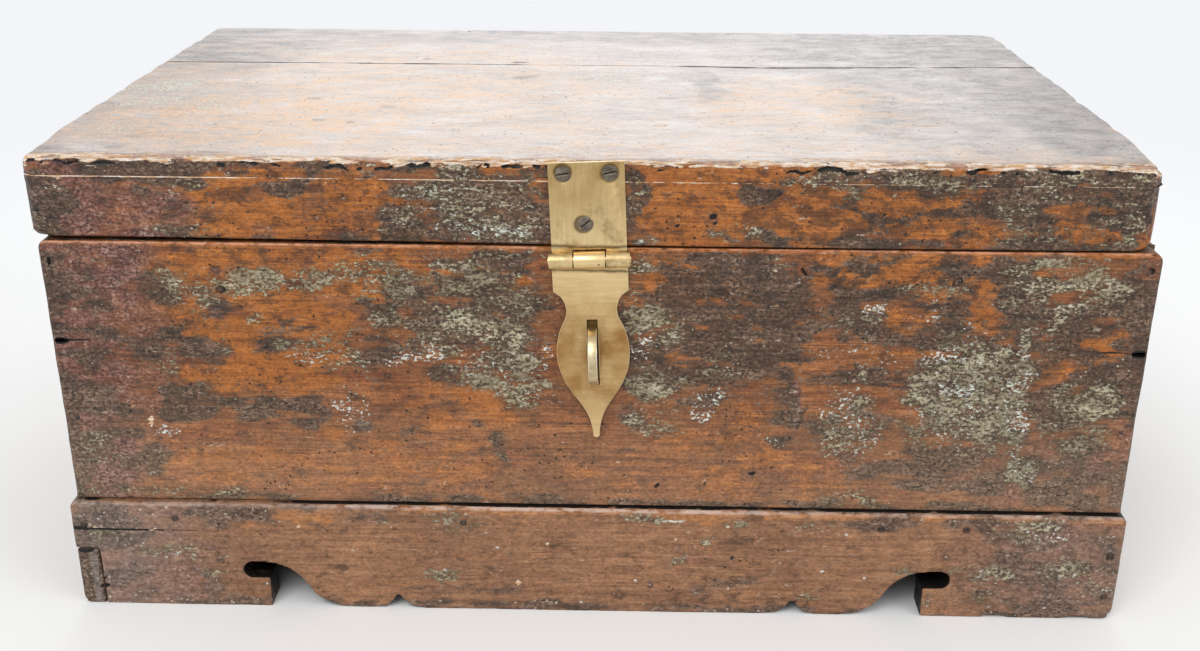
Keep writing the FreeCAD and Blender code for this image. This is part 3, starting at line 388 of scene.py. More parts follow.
lidFrontMarks = {
    "stain": [(-312, -262, 226, 280, 0.9), (-262, -222, 228, 262, 0.7), (-250, -214, 262, 278, 0.5)],
    "dark": [(-312, -282, 226, 262, 0.75), (-285, -150, 262, 278, 0.75), (-240, -205, 229, 240, 0.6),
             (-250, -196, 250, 266, 0.5), (-190, -160, 256, 266, 0.55), (-136, -104, 227, 237, 1),
             (-110, -26, 226, 268, 0.85), (-110, -60, 266, 276, 0.7), (14, 26, 228, 278, 0.75),
             (77, 97, 257.5, 265, 1), (60, 118, 228, 241, 0.75), (96, 205, 254, 272, 0.5),
             (100, 205, 236, 256, 0.3), (-300, 40, 266, 277, 0.45), (118, 180, 228, 236, 0.7),
             (70, 305, 266, 278, 0.7), (200, 310, 240, 276, 0.95), (205, 310, 226, 236, 0.6),
             (-230, -110, 226, 231, 0.7)],
    "bright": [(-222, -104, 230, 266, 0.6), (-160, -104, 238, 266, 0.6), (-62, -30, 254, 276, 0.9),
               (-110, -95, 229, 240, 0.7), (24, 80, 229, 277, 1), (78, 205, 236, 266, 0.8),
               (84, 140, 266, 276, 0.8), (176, 222, 266, 275, 0.7), (196, 296, 230, 244, 0.75),
               (-80, -66, 250, 256, 0.5), (210, 290, 246, 262, 0.3), (-262, -222, 240, 258, 0.3)],
    "paint": [(-108, -28, 232, 268, 0.44), (-246, -206, 228, 240, 0.4), (-232, -196, 250, 264, 0.35),
              (60, 92, 229, 242, 0.75), (16, 30, 228, 240, 0.55), (16, 24, 240, 276, 0.4),
              (96, 130, 266, 274, 0.4), (130, 300, 262, 276, 0.4), (206, 300, 232, 262, 0.3),
              (-100, -60, 266, 276, 0.4), (110, 205, 256, 268, 0.35), (-312, -296, 236, 256, 0.35)],
    "bare": [(-310, -295, 262, 273, 0.42), (-296, -286, 255, 262, 0.3)],
    "fleck": [(-70, -44, 233, 240, 0.4), (-104, -30, 234, 266, 0.24), (64, 86, 231, 240, 0.5),
              (18, 28, 230, 238, 0.5)],
    "specks": [(78, 210, 230, 268, 1), (24, 80, 232, 264, 0.3), (200, 300, 230, 266, 0.6),
               (-220, -104, 232, 262, 0.35)],
}
lidFrontSpots = {
    "dirt": [(61.8, 246.4, 1.7, 1.7), (63.5, 242.6, 0.9, 0.7), (152.5, 248, 1.2, 1.1), (43, 240.5, 1.2, 1),
             (97.5, 259.5, 0.9, 0.9), (-302, 246, 2.2, 1.1), (293, 248, 2.0, 1.0), (294, 243.5, 1.8, 0.6)],
    "bare": [(-269, 270.5, 2.4, 0.6)],
}
ledgeBites = [(-262, 22, 3.6, 1.9), (-230, 14, 4.2, 2.4), (-196, 16, 2.6, 1.2), (-133, 18, 3.6, 2.2),
              (-98, 16, 4.0, 3.0), (-66, 22, 4.4, 3.4), (-38, 9, 3.4, 2.4), (32, 8, 3.2, 2.2),
              (48, 10, 4.2, 3.2), (90, 16, 3.0, 1.6), (128, 10, 3.6, 2.4), (150, 13, 4.6, 3.4),
              (180, 12, 3.4, 2.0), (206, 14, 4.8, 3.6), (232, 10, 3.8, 2.4), (262, 14, 3.0, 1.6)]

plinthMarks = {
    "stain": [(-312, -215, -2, 72, 0.3), (-225, -205, 15, 35, 0.2), (215, 312, -2, 72, 0.32)],
    "dark": [(-312, -262, 36, 72, 0.75), (-312, -225, -2, 30, 0.5), (-262, -130, 56, 71, 0.55),
             (-310, 310, -3, 5, 0.7), (-200, -150, 0, 10, 0.5), (150, 232, 56, 66, 0.55),
             (220, 312, 0, 66, 0.6), (12, 40, 60, 68, 0.4), (-100, -40, 6, 20, 0.3), (60, 110, 0, 30, 0.3),
             (276, 312, -2, 40, 0.4), (-312, -296, 30, 42, 0.8)],
    # the long bright row along the top is a painted highlight on the ledge
    "bright": [(-215, -150, 54, 67, 0.4), (-160, 310, 65, 70, 0.7), (60, 240, 62, 68, 0.4)],
    "paint": [(-302, -276, 40, 52, 0.38), (-272, -240, 34, 43, 0.5), (-97, -68, 50, 67, 0.55),
              (-95, -74, 20, 29, 0.6), (12, 52, 60, 68, 0.5), (46, 56, 31, 42, 0.5), (62, 70, 46, 53, 0.42),
              (80, 90, 59, 67, 0.5), (108, 140, 55, 62, 0.3), (143, 155, 36, 44, 0.5),
              (176, 187, 28, 33, 0.5), (206, 216, 28, 32, 0.5), (222, 244, 24, 31, 0.55),
              (224, 240, 8, 19, 0.45), (193, 204, 8, 18, 0.45), (246, 274, 50, 68, 0.5),
              (262, 292, 26, 45, 0.5), (120, 132, 12, 17, 0.55), (108, 116, 10, 17, 0.5),
              (-232, -214, 18, 24, 0.42), (-200, -196, 15, 21, 0.4), (-245, -236, 28, 33, 0.5),
              (-130, -112, 56, 60, 0.4), (-22, -14, 20, 26, 0.3), (284, 306, 14, 36, 0.35)],
    "fleck": [(-272, -240, 34, 43, 0.3), (14, 50, 61, 67, 0.42), (280, 286, 29, 35, 0.6),
              (225, 242, 25, 30, 0.5), (245, 275, 50, 68, 0.3), (-92, -76, 21, 28, 0.4)],
    "specks": [(-310, 310, 0, 66, 0.22), (30, 130, 4, 50, 0.4)],
}
plinthPits = [(-293.6, 12.3, 3.0, 1.4), (-302, 37, 5.5, 1.6), (-296, 17.5, 4, 0.5)]
plinthSpots = {
    "dirt": plinthPits + [(299.7, 42.5, 1.2, 1.8), (-300, 50.6, 12, 0.5), (80.5, 38.3, 0.8, 1.0)],
    "stain": [(166.5, 60.3, 2.2, 1.8), (207, 61.1, 1.7, 1.5), (221, 60, 1.5, 1.5), (80.5, 38.3, 1.6, 2.0),
              (33, 19, 1.7, 3), (49, 44, 1.4, 1.8), (52, 38, 0.8, 3), (90, 22, 1, 1.4), (138, 33, 0.6, 3)],
    "bare": [(-174, 55, 1.5, 1.1), (-28, 46.3, 1, 1), (-45.5, 18.5, 1.6, 1.2)],
}
lidTopMarks = {
    "fleck": [(-312, -250, 108, 192, 0.5), (-296, -262, 158, 185, 0.66), (-300, -280, 112, 122, 0.6),
              (-268, -228, 112, 130, 0.55), (-226, -204, 84, 96, 0.45), (-14, 34, 196, 226, 0.5),
              (120, 190, 270, 296, 0.45), (140, 182, 200, 232, 0.4), (-290, -262, 40, 80, 0.4),
              (-230, -190, 20, 60, 0.2), (30, 60, 196, 214, 0.4)],
    # the wide dark rows over the right side, the left back and across the back are painted shade, darkening
    # the top where the sheen falls off
    "dark": [(-312, -292, -4, 110, 0.4), (-70, -40, 196, 214, 0.4), (-200, -150, 262, 274, 0.4),
             (60, 76, 140, 232, 0.55), (240, 312, -5, 384, 0.66), (150, 240, -5, 384, 0.46),
             (120, 312, 250, 384, 0.85), (-312, -220, 220, 384, 0.6), (-312, 312, 330, 390, 0.5)],
    "bright": [(-330, 10, -20, 300, 0.4), (-290, -120, 20, 150, 0.75), (-210, -40, 100, 220, 0.55),
               (60, 190, 60, 200, 0.5), (-60, 160, -10, 60, 0.3), (-312, 312, -10, 40, 0.3)],
    "stain": [(-252, -196, 336, 376, 0.45), (-260, -160, 300, 384, 0.25), (-260, -220, 20, 50, 0.2)],
    "specks": [(-312, 312, -5, 300, 0.4)],
}
lidTopSpots = {
    "dirt": [(-127, 262, 5, 1.2), (-60, 256, 8, 1.2), (-100, 261, 16, 0.8), (232, 21, 3, 0.9),
             (-184, 73, 1.0, 0.8)],
    "dark": [(-165, 84, 4, 2.6), (-145, 79, 3, 2), (-180, 139, 5, 3.2), (-55, 206, 7, 4),
             (-262, 20, 5, 1.4), (-130, 120, 4, 3), (40, 150, 6, 3)],
    "bare": [(297, 80, 2, 3), (35, 80, 4, 2)],
}


def readMarks(x, z, table, pointTable, seed):
    flat = np.stack([x, np.zeros_like(x), z], axis=1)
    wx = x + 5.0 * fractal(flat, (22, 10, 13), seed, 3)
    wz = z + 3.5 * fractal(flat, (26, 10, 11), seed + 5, 3)
    grain = fractal(flat, (15, 10, 7), seed + 9, 3)
    fields = {}
    for n, (name, rows) in enumerate(table.items()):
        fields[name] = patches(wx, wz, rows, grain if n % 2 else -grain)
    for name, rows in pointTable.items():
        fields[name] = np.maximum(fields.get(name, 0), spots(x, z, rows))
    return fields


def raiseMark(fields, name, least):
    fields[name] = np.maximum(fields[name], least)


def mergeMarks(fields, weight, extra):
    for name in marks:
        old = fields.get(name, 0)
        fields[name] = old * (1 - weight) + extra.get(name, 0) * weight
    return fields


def plainMarks(points, seed, dark=0.45, paint=0.12, bright=0.35, stain=0.0, wash=0.0):
    # faces that the photograph doesn't show have the same finish, spread by noise alone
    wide = fractal(points, (120, 90, 45), seed, 4)
    other = fractal(points, (70, 60, 30), seed + 3, 4)
    third = fractal(points, (45, 45, 22), seed + 7, 3)
    return {
        "dark": np.clip(dark + 0.34 * wide, 0, 1),
        "bright": np.clip(bright - 0.3 * wide + 0.2 * third, 0, 1),
        "paint": np.clip(paint * 2.2 * (other + 0.35), 0, 0.7),
        "fleck": np.clip(paint * 1.6 * third, 0, 0.4),
        "stain": np.clip(stain + 0.3 * third, 0, 1) * (stain > 0),
        "specks": np.clip(0.3 + 0.4 * other, 0, 0.8),
        "wash": np.full(len(points), wash),
    }


# shader helpers
def tint(red, green, blue):
    linear = []
    for value in (red, green, blue):
        v = value / 255
        linear.append(v / 12.92 if v <= 0.04045 else ((v + 0.055) / 1.055) ** 2.4)
    return (*linear, 1.0)


def feed(tree, made, inputs):
    for key, value in inputs.items():
        if isinstance(value, bpy.types.NodeSocket):
            tree.links.new(value, made.inputs[key])
        else:
            made.inputs[key].default_value = value


def put(tree, kind, inputs=None, **settings):
    made = tree.nodes.new("ShaderNode" + kind)
    for key, value in settings.items():
        setattr(made, key, value)
    feed(tree, made, inputs or {})
    return made


def calc(tree, operation, *values, clamp=False):
    inputs = dict(enumerate(values))
    return put(tree, "Math", inputs, operation=operation, use_clamp=clamp).outputs[0]


def mixColour(tree, factor, a, b):
    return put(tree, "Mix", {0: factor, 6: a, 7: b}, data_type="RGBA").outputs[2]


def cover(tree, under, over, mask, amount):
    return mixColour(tree, calc(tree, "MULTIPLY", mask, amount), under, over)


def sway(tree, noise, amount, onto):
    # adds how far a noise is from its middle, times an amount
    return calc(tree, "MULTIPLY_ADD", calc(tree, "SUBTRACT", noise, 0.5), amount, onto)


def remap(tree, value, low, high, toLow=0.0, toHigh=1.0, smooth=False):
    kind = "SMOOTHSTEP" if smooth else "LINEAR"
    return put(tree, "MapRange", {0: value, 1: low, 2: high, 3: toLow, 4: toHigh},
               interpolation_type=kind).outputs[0]


def noiseTexture(tree, vector, scale, detail=4.0, roughness=0.55, distortion=0.0):
    return put(tree, "TexNoise", {"Vector": vector, "Scale": scale, "Detail": detail,
                                  "Roughness": roughness, "Distortion": distortion}).outputs[0]


def stretch(tree, vector, scale, location=(0, 0, 0)):
    return put(tree, "Mapping", {"Vector": vector, "Scale": scale, "Location": location}).outputs[0]


def newGroup(name, inputs, outputs):
    tree = bpy.data.node_groups.new(name, "ShaderNodeTree")
    for label, kind, value in inputs:
        socket = tree.interface.new_socket(label, in_out="INPUT", socket_type="NodeSocket" + kind)
        if value is not None:
            socket.default_value = value
    for label, kind in outputs:
        tree.interface.new_socket(label, in_out="OUTPUT", socket_type="NodeSocket" + kind)
    return tree, tree.nodes.new("NodeGroupInput"), tree.nodes.new("NodeGroupOutput")


def useGroup(tree, group, inputs):
    made = tree.nodes.new("ShaderNodeGroup")
    made.node_tree = group
    feed(tree, made, inputs)
    return made.outputs


def woodGrainGroup():
    tree, start, end = newGroup("woodGrain", [("Vector", "Vector", None), ("Figure", "Float", 0.5)],
                                [("Streak", "Float"), ("Pores", "Float"), ("Height", "Float")])
    vector = start.outputs["Vector"]
    wide = noiseTexture(tree, stretch(tree, vector, (0.8, 0.4, 0.4)), 1.0, 3.0, 0.5, 0.8)
    rings = calc(tree, "SINE", calc(tree, "MULTIPLY", wide, 34.0))
    rings = remap(tree, rings, -1.0, 1.0)
    fine = noiseTexture(tree, stretch(tree, vector, (1.6, 5.0, 5.0)), 1.0, 4.0, 0.66)
    streak = calc(tree, "ADD", calc(tree, "MULTIPLY", rings, start.outputs["Figure"]),
                  calc(tree, "MULTIPLY", remap(tree, fine, 0.3, 0.7), 0.8))
    streak = remap(tree, streak, 0.1, 1.1)
    pores = noiseTexture(tree, stretch(tree, vector, (9.0, 9.0, 9.0), (3, 5, 7)), 1.0, 1.0, 0.5)
    pores = remap(tree, pores, 0.64, 0.72)
    height = calc(tree, "SUBTRACT", calc(tree, "MULTIPLY", streak, 0.6), pores)
    feed(tree, end, {"Streak": streak, "Pores": pores, "Height": height})
    return tree


def flakesGroup():
    tree, start, end = newGroup(
        "flakes", [("Vector", "Vector", None), ("Grit", "Float", 0.5), ("Amount", "Float", 0.5),
                   ("Size", "Float", 200.0), ("Softness", "Float", 0.03)],
        [("Mask", "Float"), ("Rim", "Float")])
    coarse = noiseTexture(tree, start.outputs["Vector"], start.outputs["Size"], 7.0, 0.68, 0.3)
    both = sway(tree, start.outputs["Grit"], 0.34, coarse)
    both = remap(tree, both, 0.32, 0.68)
    limit = remap(tree, start.outputs["Amount"], 0.0, 1.0, 1.02, -0.05)
    gap = calc(tree, "SUBTRACT", both, limit)
    soft = start.outputs["Softness"]
    mask = calc(tree, "DIVIDE", calc(tree, "ADD", gap, soft), calc(tree, "MULTIPLY", soft, 2.0), clamp=True)
    rim = calc(tree, "SUBTRACT", 1.0, calc(tree, "DIVIDE", calc(tree, "ABSOLUTE", gap),
                                           calc(tree, "MULTIPLY", soft, 2.6)), clamp=True)
    feed(tree, end, {"Mask": mask, "Rim": rim})
    return tree


def specksGroup():
    tree, start, end = newGroup(
        "specks", [("Vector", "Vector", None), ("Scale", "Float", 300.0), ("Amount", "Float", 0.3),
                   ("Size", "Float", 0.35)],
        [("Mask", "Float")])
    cells = put(tree, "TexVoronoi", {"Vector": start.outputs["Vector"], "Scale": start.outputs["Scale"]})
    random = put(tree, "SeparateColor", {0: cells.outputs["Color"]})
    radius = remap(tree, random.outputs[0], 0.0, 1.0, 0.35, 1.0)
    radius = calc(tree, "MULTIPLY", radius, start.outputs["Size"])
    inside = remap(tree, calc(tree, "SUBTRACT", radius, cells.outputs["Distance"]), -0.03, 0.03)
    chosen = calc(tree, "LESS_THAN", random.outputs[1], start.outputs["Amount"])
    feed(tree, end, {"Mask": calc(tree, "MULTIPLY", inside, chosen)})
    return tree


woodGrain = woodGrainGroup()
flakes = flakesGroup()
specks = specksGroup()


def newMaterial(name):
    material = bpy.data.materials.new(name)
    material.use_nodes = True
    tree = material.node_tree
    tree.nodes.clear()
    shader = tree.nodes.new("ShaderNodeBsdfPrincipled")
    output = tree.nodes.new("ShaderNodeOutputMaterial")
    tree.links.new(shader.outputs[0], output.inputs["Surface"])
    return material, tree, shader


def finishShader(tree, shader, colour, rough, relief, strength, distance):
    bump = put(tree, "Bump", {"Height": relief, "Strength": strength, "Distance": distance})
    feed(tree, shader, {"Base Color": colour, "Roughness": rough, "Normal": bump.outputs[0]})


def readMark(tree, name):
    return put(tree, "Attribute", attribute_name=name, attribute_type="GEOMETRY").outputs["Fac"]


woodColours = {
    "deep": tint(92, 58, 38),
    "mid": tint(142, 90, 54),
    "light": tint(178, 118, 70),
    "russet": tint(128, 68, 38),
    "freshDeep": tint(112, 66, 32),
    "fresh": tint(158, 94, 42),
    "freshPale": tint(184, 118, 60),
    "maroonDeep": tint(80, 50, 46),
    "maroon": tint(122, 82, 74),
    "maroonPale": tint(146, 120, 108),
    "patinaDeep": tint(44, 36, 31),
    "patina": tint(86, 70, 58),
    "patinaPale": tint(128, 110, 94),
    "filmDeep": tint(54, 43, 34),
    "film": tint(100, 86, 66),
    "filmPale": tint(138, 125, 100),
    "paintDeep": tint(90, 80, 62),
    "paint": tint(164, 154, 124),
    "paintPale": tint(206, 200, 176),
    "fleck": tint(220, 224, 216),
    # the pale colours below are bleached wood, and on the lid top also a painted sheen and painted shade
    "wash": tint(228, 221, 217),
    "washDeep": tint(178, 166, 159),
    "washPeach": tint(226, 190, 156),
    "washGrey": tint(122, 120, 122),
    "washMauve": tint(170, 146, 152),
    "bare": tint(206, 160, 112),
    "barePale": tint(236, 226, 214),
    "dirt": tint(20, 17, 15),
    "rim": tint(214, 156, 124),
    "dust": tint(196, 168, 142),
}


def threeTones(tree, value, dark, mid, pale, low, high):
    made = put(tree, "ValToRGB", {0: value})
    stops = made.color_ramp.elements
    stops[0].position, stops[0].color = low, dark
    stops[1].position, stops[1].color = high, pale
    stops.new((low + high) / 2).color = mid
    return made.outputs[0]


# how far each flaking layer is stretched and shifted, and the size of its flakes
flakeLooks = {
    "fresh": ((0.45, 1, 1), (0, 0, 0), 75.0),
    "patina": ((0.42, 1, 1), (5, 1, 3), 90.0),
    "grime": ((0.6, 1, 1), (1, 8, 2), 150.0),
    "film": ((0.55, 1, 1), (7, 2, 5), 120.0),
    "paint": ((0.5, 1, 1.2), (3, 2, 9), 520.0),
    "pale": ((0.7, 1, 1.1), (2, 7, 4), 560.0),
    "splinters": ((0.3, 1, 1), (0, 0, 0), 260.0),
}


def oldWood(name, grain, colours=None, figure=0.45, roughness=0.46, crumbs=1.0, dusty=0.16):
    c = dict(woodColours, **(colours or {}))
    material, tree, shader = newMaterial(name)
    place = put(tree, "TexCoord").outputs["Object"]
    amount = {mark: readMark(tree, mark) for mark in marks}
    streaks = useGroup(tree, woodGrain, {"Vector": stretch(tree, place, grain), "Figure": figure})
    wander = noiseTexture(tree, place, 16.0, 4.0, 0.6)
    cloud = noiseTexture(tree, stretch(tree, place, (0.5, 1, 1), (2, 6, 4)), 38.0, 4.0, 0.62)
    clear = remap(tree, cloud, 0.38, 0.62, 0.35, 1.0)
    streak = sway(tree, streaks["Streak"], clear, 0.5)
    mottle = noiseTexture(tree, stretch(tree, place, (0.62, 1, 1)), 230.0, 5.0, 0.64, 0.3)
    grit = noiseTexture(tree, stretch(tree, place, (0.75, 1, 1)), 620.0, 2.0, 0.7)
    crumb = sway(tree, mottle, 0.7, grit)
    height = put(tree, "SeparateXYZ", {0: place}).outputs[2]
    blur = remap(tree, height, 0.1, 0.18, 0.17, 0.05)  # patches fade softly near the floor

    def flaked(layer, level, softness):
        scale, shift, size = flakeLooks[layer]
        return useGroup(tree, flakes, {"Vector": stretch(tree, place, scale, shift), "Grit": grit,
                                       "Amount": level, "Size": size, "Softness": softness})

    base = threeTones(tree, streak, c["deep"], c["mid"], c["light"], 0.1, 0.9)
    darker = mixColour(tree, 0.5, base, c["deep"])
    base = mixColour(tree, remap(tree, wander, 0.36, 0.6), darker, base)
    base = mixColour(tree, remap(tree, cloud, 0.5, 0.64, 0.0, 0.45), base, c["russet"])
    # fresher wood where the old finish has rubbed away
    fresh = flaked("fresh", amount["bright"], blur)
    freshWood = threeTones(tree, streak, c["freshDeep"], c["fresh"], c["freshPale"], 0.0, 1.0)
    base = mixColour(tree, fresh["Mask"], base, freshWood)
    base = cover(tree, base, c["maroonDeep"], streaks["Pores"], 0.75)
    stained = calc(tree, "MULTIPLY", amount["stain"], remap(tree, wander, 0.3, 0.55, 0.6, 1.0))
    base = mixColour(tree, stained, base,
                     threeTones(tree, crumb, c["maroonDeep"], c["maroon"], c["maroonPale"], 0.3, 0.72))
    # old dark finish, in streaks and islands
    patina = flaked("patina", amount["dark"], blur)
    finer = tuple(2.2 * v for v in grain)
    along = noiseTexture(tree, stretch(tree, place, finer, (4, 4, 4)), 1.0, 4.0, 0.65)
    patinaTone = sway(tree, cloud, 0.6, sway(tree, along, 0.9, crumb))
    patinaColour = threeTones(tree, patinaTone, c["patinaDeep"], c["patina"], c["patinaPale"], 0.22, 0.84)
    base = cover(tree, base, patinaColour, patina["Mask"], 0.85)
    # small dark grime
    level = remap(tree, height, 0.08, 0.2, 0.6, 1.05)
    grimy = calc(tree, "MULTIPLY_ADD", amount["specks"], 0.22, 0.26)
    grime = flaked("grime", calc(tree, "MULTIPLY", grimy, level), 0.07)
    base = cover(tree, base, c["patinaDeep"], grime["Mask"], 0.62)
    # pale bleached wood, which on the lid top is also a painted sheen: the near-white colours stand in for
    # glare, and the grey where dark is marked is painted shade where that sheen falls off
    washAndSheenNoise = noiseTexture(tree, stretch(tree, place, (22, 46, 46)), 1.0, 10.0, 0.8, 0.4)
    lines = noiseTexture(tree, stretch(tree, place, (40, 640, 640)), 1.0, 5.0, 0.7)
    washAndSheenNoise = sway(tree, lines, 0.7, washAndSheenNoise)
    washAndSheenTone = mixColour(tree, remap(tree, washAndSheenNoise, 0.32, 0.64), c["washDeep"], c["wash"])
    blotch = remap(tree, cloud, 0.44, 0.58)
    washAndSheenTone = cover(tree, washAndSheenTone, c["washGrey"], blotch, 0.16)
    peach = calc(tree, "MULTIPLY", amount["bright"], remap(tree, mottle, 0.34, 0.6, 0.25, 1.2), clamp=True)
    washAndSheenTone = mixColour(tree, peach, washAndSheenTone, c["washPeach"])
    greyAndShade = calc(tree, "MULTIPLY", amount["dark"], remap(tree, mottle, 0.36, 0.6, 0.45, 1.0))
    washAndSheenTone = cover(tree, washAndSheenTone, c["washGrey"], greyAndShade, 0.75)
    washAndSheenTone = cover(tree, washAndSheenTone, c["washMauve"], stained, 0.5)
    base = cover(tree, base, washAndSheenTone, amount["wash"], 0.94)
    base = mixColour(tree, remap(tree, height, 0.075, 0.15, dusty, 0.0), base, c["dust"])
    # crumbly mottling, strongest where the finish is old
    worst = calc(tree, "MAXIMUM", calc(tree, "MAXIMUM", patina["Mask"], stained), amount["paint"])
    aged = calc(tree, "MULTIPLY", remap(tree, amount["wash"], 0.0, 1.0, 1.0, 0.35), crumbs)
    spread = calc(tree, "MULTIPLY", remap(tree, worst, 0.0, 1.0, 1.1, 1.0), aged)
    spread = calc(tree, "ADD", spread, 0.68)
    value = sway(tree, crumb, spread, 1.0)
    base = put(tree, "HueSaturation", {"Value": value, "Color": base}).outputs[0]
    # thin dark lines of a crazed finish
    cracks = put(tree, "TexVoronoi", {"Vector": stretch(tree, place, (0.5, 1, 1)), "Scale": 270.0},
                 feature="DISTANCE_TO_EDGE").outputs["Distance"]
    cracks = sway(tree, grit, 0.35, cracks)
    line = remap(tree, cracks, 0.02, 0.07, 1.0, 0.0)
    line = calc(tree, "MULTIPLY", line, remap(tree, mottle, 0.44, 0.52))
    lace = calc(tree, "MULTIPLY", calc(tree, "MULTIPLY", line, worst), aged, clamp=True)
    base = cover(tree, base, c["patinaDeep"], lace, 0.8)
    # black specks and pale crumbs
    shake = put(tree, "TexNoise", {"Vector": place, "Scale": 700.0}).outputs["Color"]
    ragged = put(tree, "VectorMath", {0: shake, 1: (0.0016, 0.0016, 0.0016), 2: place},
                 operation="MULTIPLY_ADD").outputs[0]
    crowd = noiseTexture(tree, stretch(tree, place, (0.6, 1, 1), (8, 4, 6)), 60.0, 3.0, 0.6)
    dotted = calc(tree, "MULTIPLY", amount["specks"], remap(tree, crowd, 0.42, 0.66))
    crowded = calc(tree, "MULTIPLY", remap(tree, crowd, 0.44, 0.6, 0.04, 0.3), aged)
    dots = useGroup(tree, specks, {"Vector": ragged, "Scale": 330.0, "Amount": dotted, "Size": 0.27})
    bigDots = useGroup(tree, specks, {"Vector": ragged, "Scale": 150.0, "Size": 0.17,
                                      "Amount": calc(tree, "MULTIPLY", dotted, 0.5)})
    dotMask = calc(tree, "MAXIMUM", dots["Mask"], bigDots["Mask"])
    base = cover(tree, base, c["dirt"], dotMask, 0.85)
    paleCrumbs = useGroup(tree, specks, {"Vector": ragged, "Scale": 420.0, "Size": 0.34,
                                         "Amount": calc(tree, "MULTIPLY", worst, crowded)})
    base = cover(tree, base, c["paintPale"], paleCrumbs["Mask"], 0.6)
    droplets = useGroup(tree, specks, {"Vector": stretch(tree, ragged, (0.7, 1, 1), (9, 5, 1)),
                                       "Scale": 105.0, "Size": 0.08,
                                       "Amount": remap(tree, worst, 0.0, 1.0, 0.08, 0.4)})
    base = cover(tree, base, c["fleck"], droplets["Mask"], aged)
    # a thin olive film round the paint
    film = flaked("film", remap(tree, amount["paint"], 0.0, 1.0, 0.0, 0.86), 0.18)
    filmTone = threeTones(tree, crumb, c["filmDeep"], c["film"], c["filmPale"], 0.3, 0.7)
    base = cover(tree, base, filmTone, film["Mask"], 0.42)
    # flaking paint, outlined in dark where it has lifted
    paint = flaked("paint", remap(tree, amount["paint"], 0.0, 1.0, 0.0, 0.66), 0.04)
    paintTone = threeTones(tree, crumb, c["paintDeep"], c["paint"], c["paintPale"], 0.33, 0.68)
    paintTone = mixColour(tree, remap(tree, cloud, 0.42, 0.6, 0.55, 0.0), paintTone, c["film"])
    base = cover(tree, base, c["patinaDeep"], paint["Rim"], 0.75)
    base = cover(tree, base, paintTone, paint["Mask"], 0.9)
    pale = flaked("pale", remap(tree, amount["fleck"], 0.0, 1.0, 0.0, 0.6), 0.05)
    paleTone = mixColour(tree, remap(tree, grit, 0.36, 0.54), c["paintPale"], c["fleck"])
    base = cover(tree, base, c["patinaDeep"], pale["Rim"], 0.6)
    base = cover(tree, base, paleTone, pale["Mask"], 0.92)
    # rubbed arrises and torn fibres; the rim colour is also a painted highlight on the case's top arris and
    # on the plinth's ledge
    rubbed = calc(tree, "MULTIPLY", amount["rim"], remap(tree, mottle, 0.38, 0.56))
    base = mixColour(tree, rubbed, base, c["rim"])
    fibre = noiseTexture(tree, stretch(tree, place, (160, 700, 700)), 1.0, 4.0, 0.6)
    torn = mixColour(tree, remap(tree, fibre, 0.4, 0.6), c["bare"], c["barePale"])
    splinters = flaked("splinters", amount["bare"], 0.08)
    base = cover(tree, base, c["maroonDeep"], splinters["Rim"], amount["bare"])
    base = mixColour(tree, splinters["Mask"], base, torn)
    hole = remap(tree, sway(tree, mottle, 1.2, amount["dirt"]), 0.3, 0.5)
    base = mixColour(tree, hole, base, c["dirt"])
    rough = calc(tree, "ADD", roughness, calc(tree, "MULTIPLY", paint["Mask"], 0.2))
    rough = calc(tree, "ADD", rough, calc(tree, "MULTIPLY", splinters["Mask"], 0.25))
    rough = calc(tree, "ADD", rough, remap(tree, crumb, 0.3, 0.7, -0.1, 0.14), clamp=True)
    relief = calc(tree, "MULTIPLY", paint["Mask"], 0.7)
    for part, rise in ((streaks["Height"], 0.3), (pale["Mask"], 0.7), (dotMask, -0.8), (lace, -0.5),
                       (crumb, calc(tree, "MULTIPLY", spread, 0.8)),
                       (fibre, calc(tree, "MULTIPLY", splinters["Mask"], 2.0))):
        relief = calc(tree, "MULTIPLY_ADD", part, rise, relief)
    finishShader(tree, shader, base, rough, relief, 0.6, 0.0005)
    shader.inputs["IOR"].default_value = 1.48
    shader.inputs["Specular IOR Level"].default_value = 0.3
    return material


alongBoard = (11.0, 230.0, 230.0)
acrossBoard = (230.0, 11.0, 230.0)
caseWood = oldWood("caseWood", alongBoard)
lidWood = oldWood("lidWood", alongBoard, roughness=0.42)
endWood = oldWood("endWood", acrossBoard)
plinthColours = {
    "deep": tint(116, 82, 60), "mid": tint(152, 110, 80), "light": tint(176, 132, 98),
    "russet": tint(144, 100, 72),
    "freshDeep": tint(132, 88, 56), "fresh": tint(168, 114, 72), "freshPale": tint(188, 136, 92),
    "patinaDeep": tint(52, 42, 36), "patina": tint(104, 84, 72), "patinaPale": tint(142, 120, 104),
    "maroonDeep": tint(70, 50, 44), "maroon": tint(120, 90, 82), "maroonPale": tint(150, 126, 116),
    "rim": tint(214, 192, 180),
}
plinthLook = {"colours": plinthColours, "figure": 0.4, "roughness": 0.5, "crumbs": 0.8, "dusty": 0.0}
plinthWood = oldWood("plinthWood", alongBoard, **plinthLook)
plinthEndWood = oldWood("plinthEndWood", acrossBoard, **plinthLook)
print("wood materials made")


# boards
unevenness = 0.3
boardCrease = math.radians(34)


def shapeBoard(points, normal, worn, seed, along):
    # gentle unevenness over the faces, and hollows rubbed out of the edges
    size = np.array([26.0, 26.0, 26.0])
    size[along] = 150.0
    face = unevenness * fractal(points, size, seed, 3) - unevenness
    chips = np.maximum(0, fractal(points, (14, 14, 14), seed + 9, 4) - 0.15)
    edge = worn * (1.3 * chips + 0.25)
    return points + normal * (face - edge)[:, None]


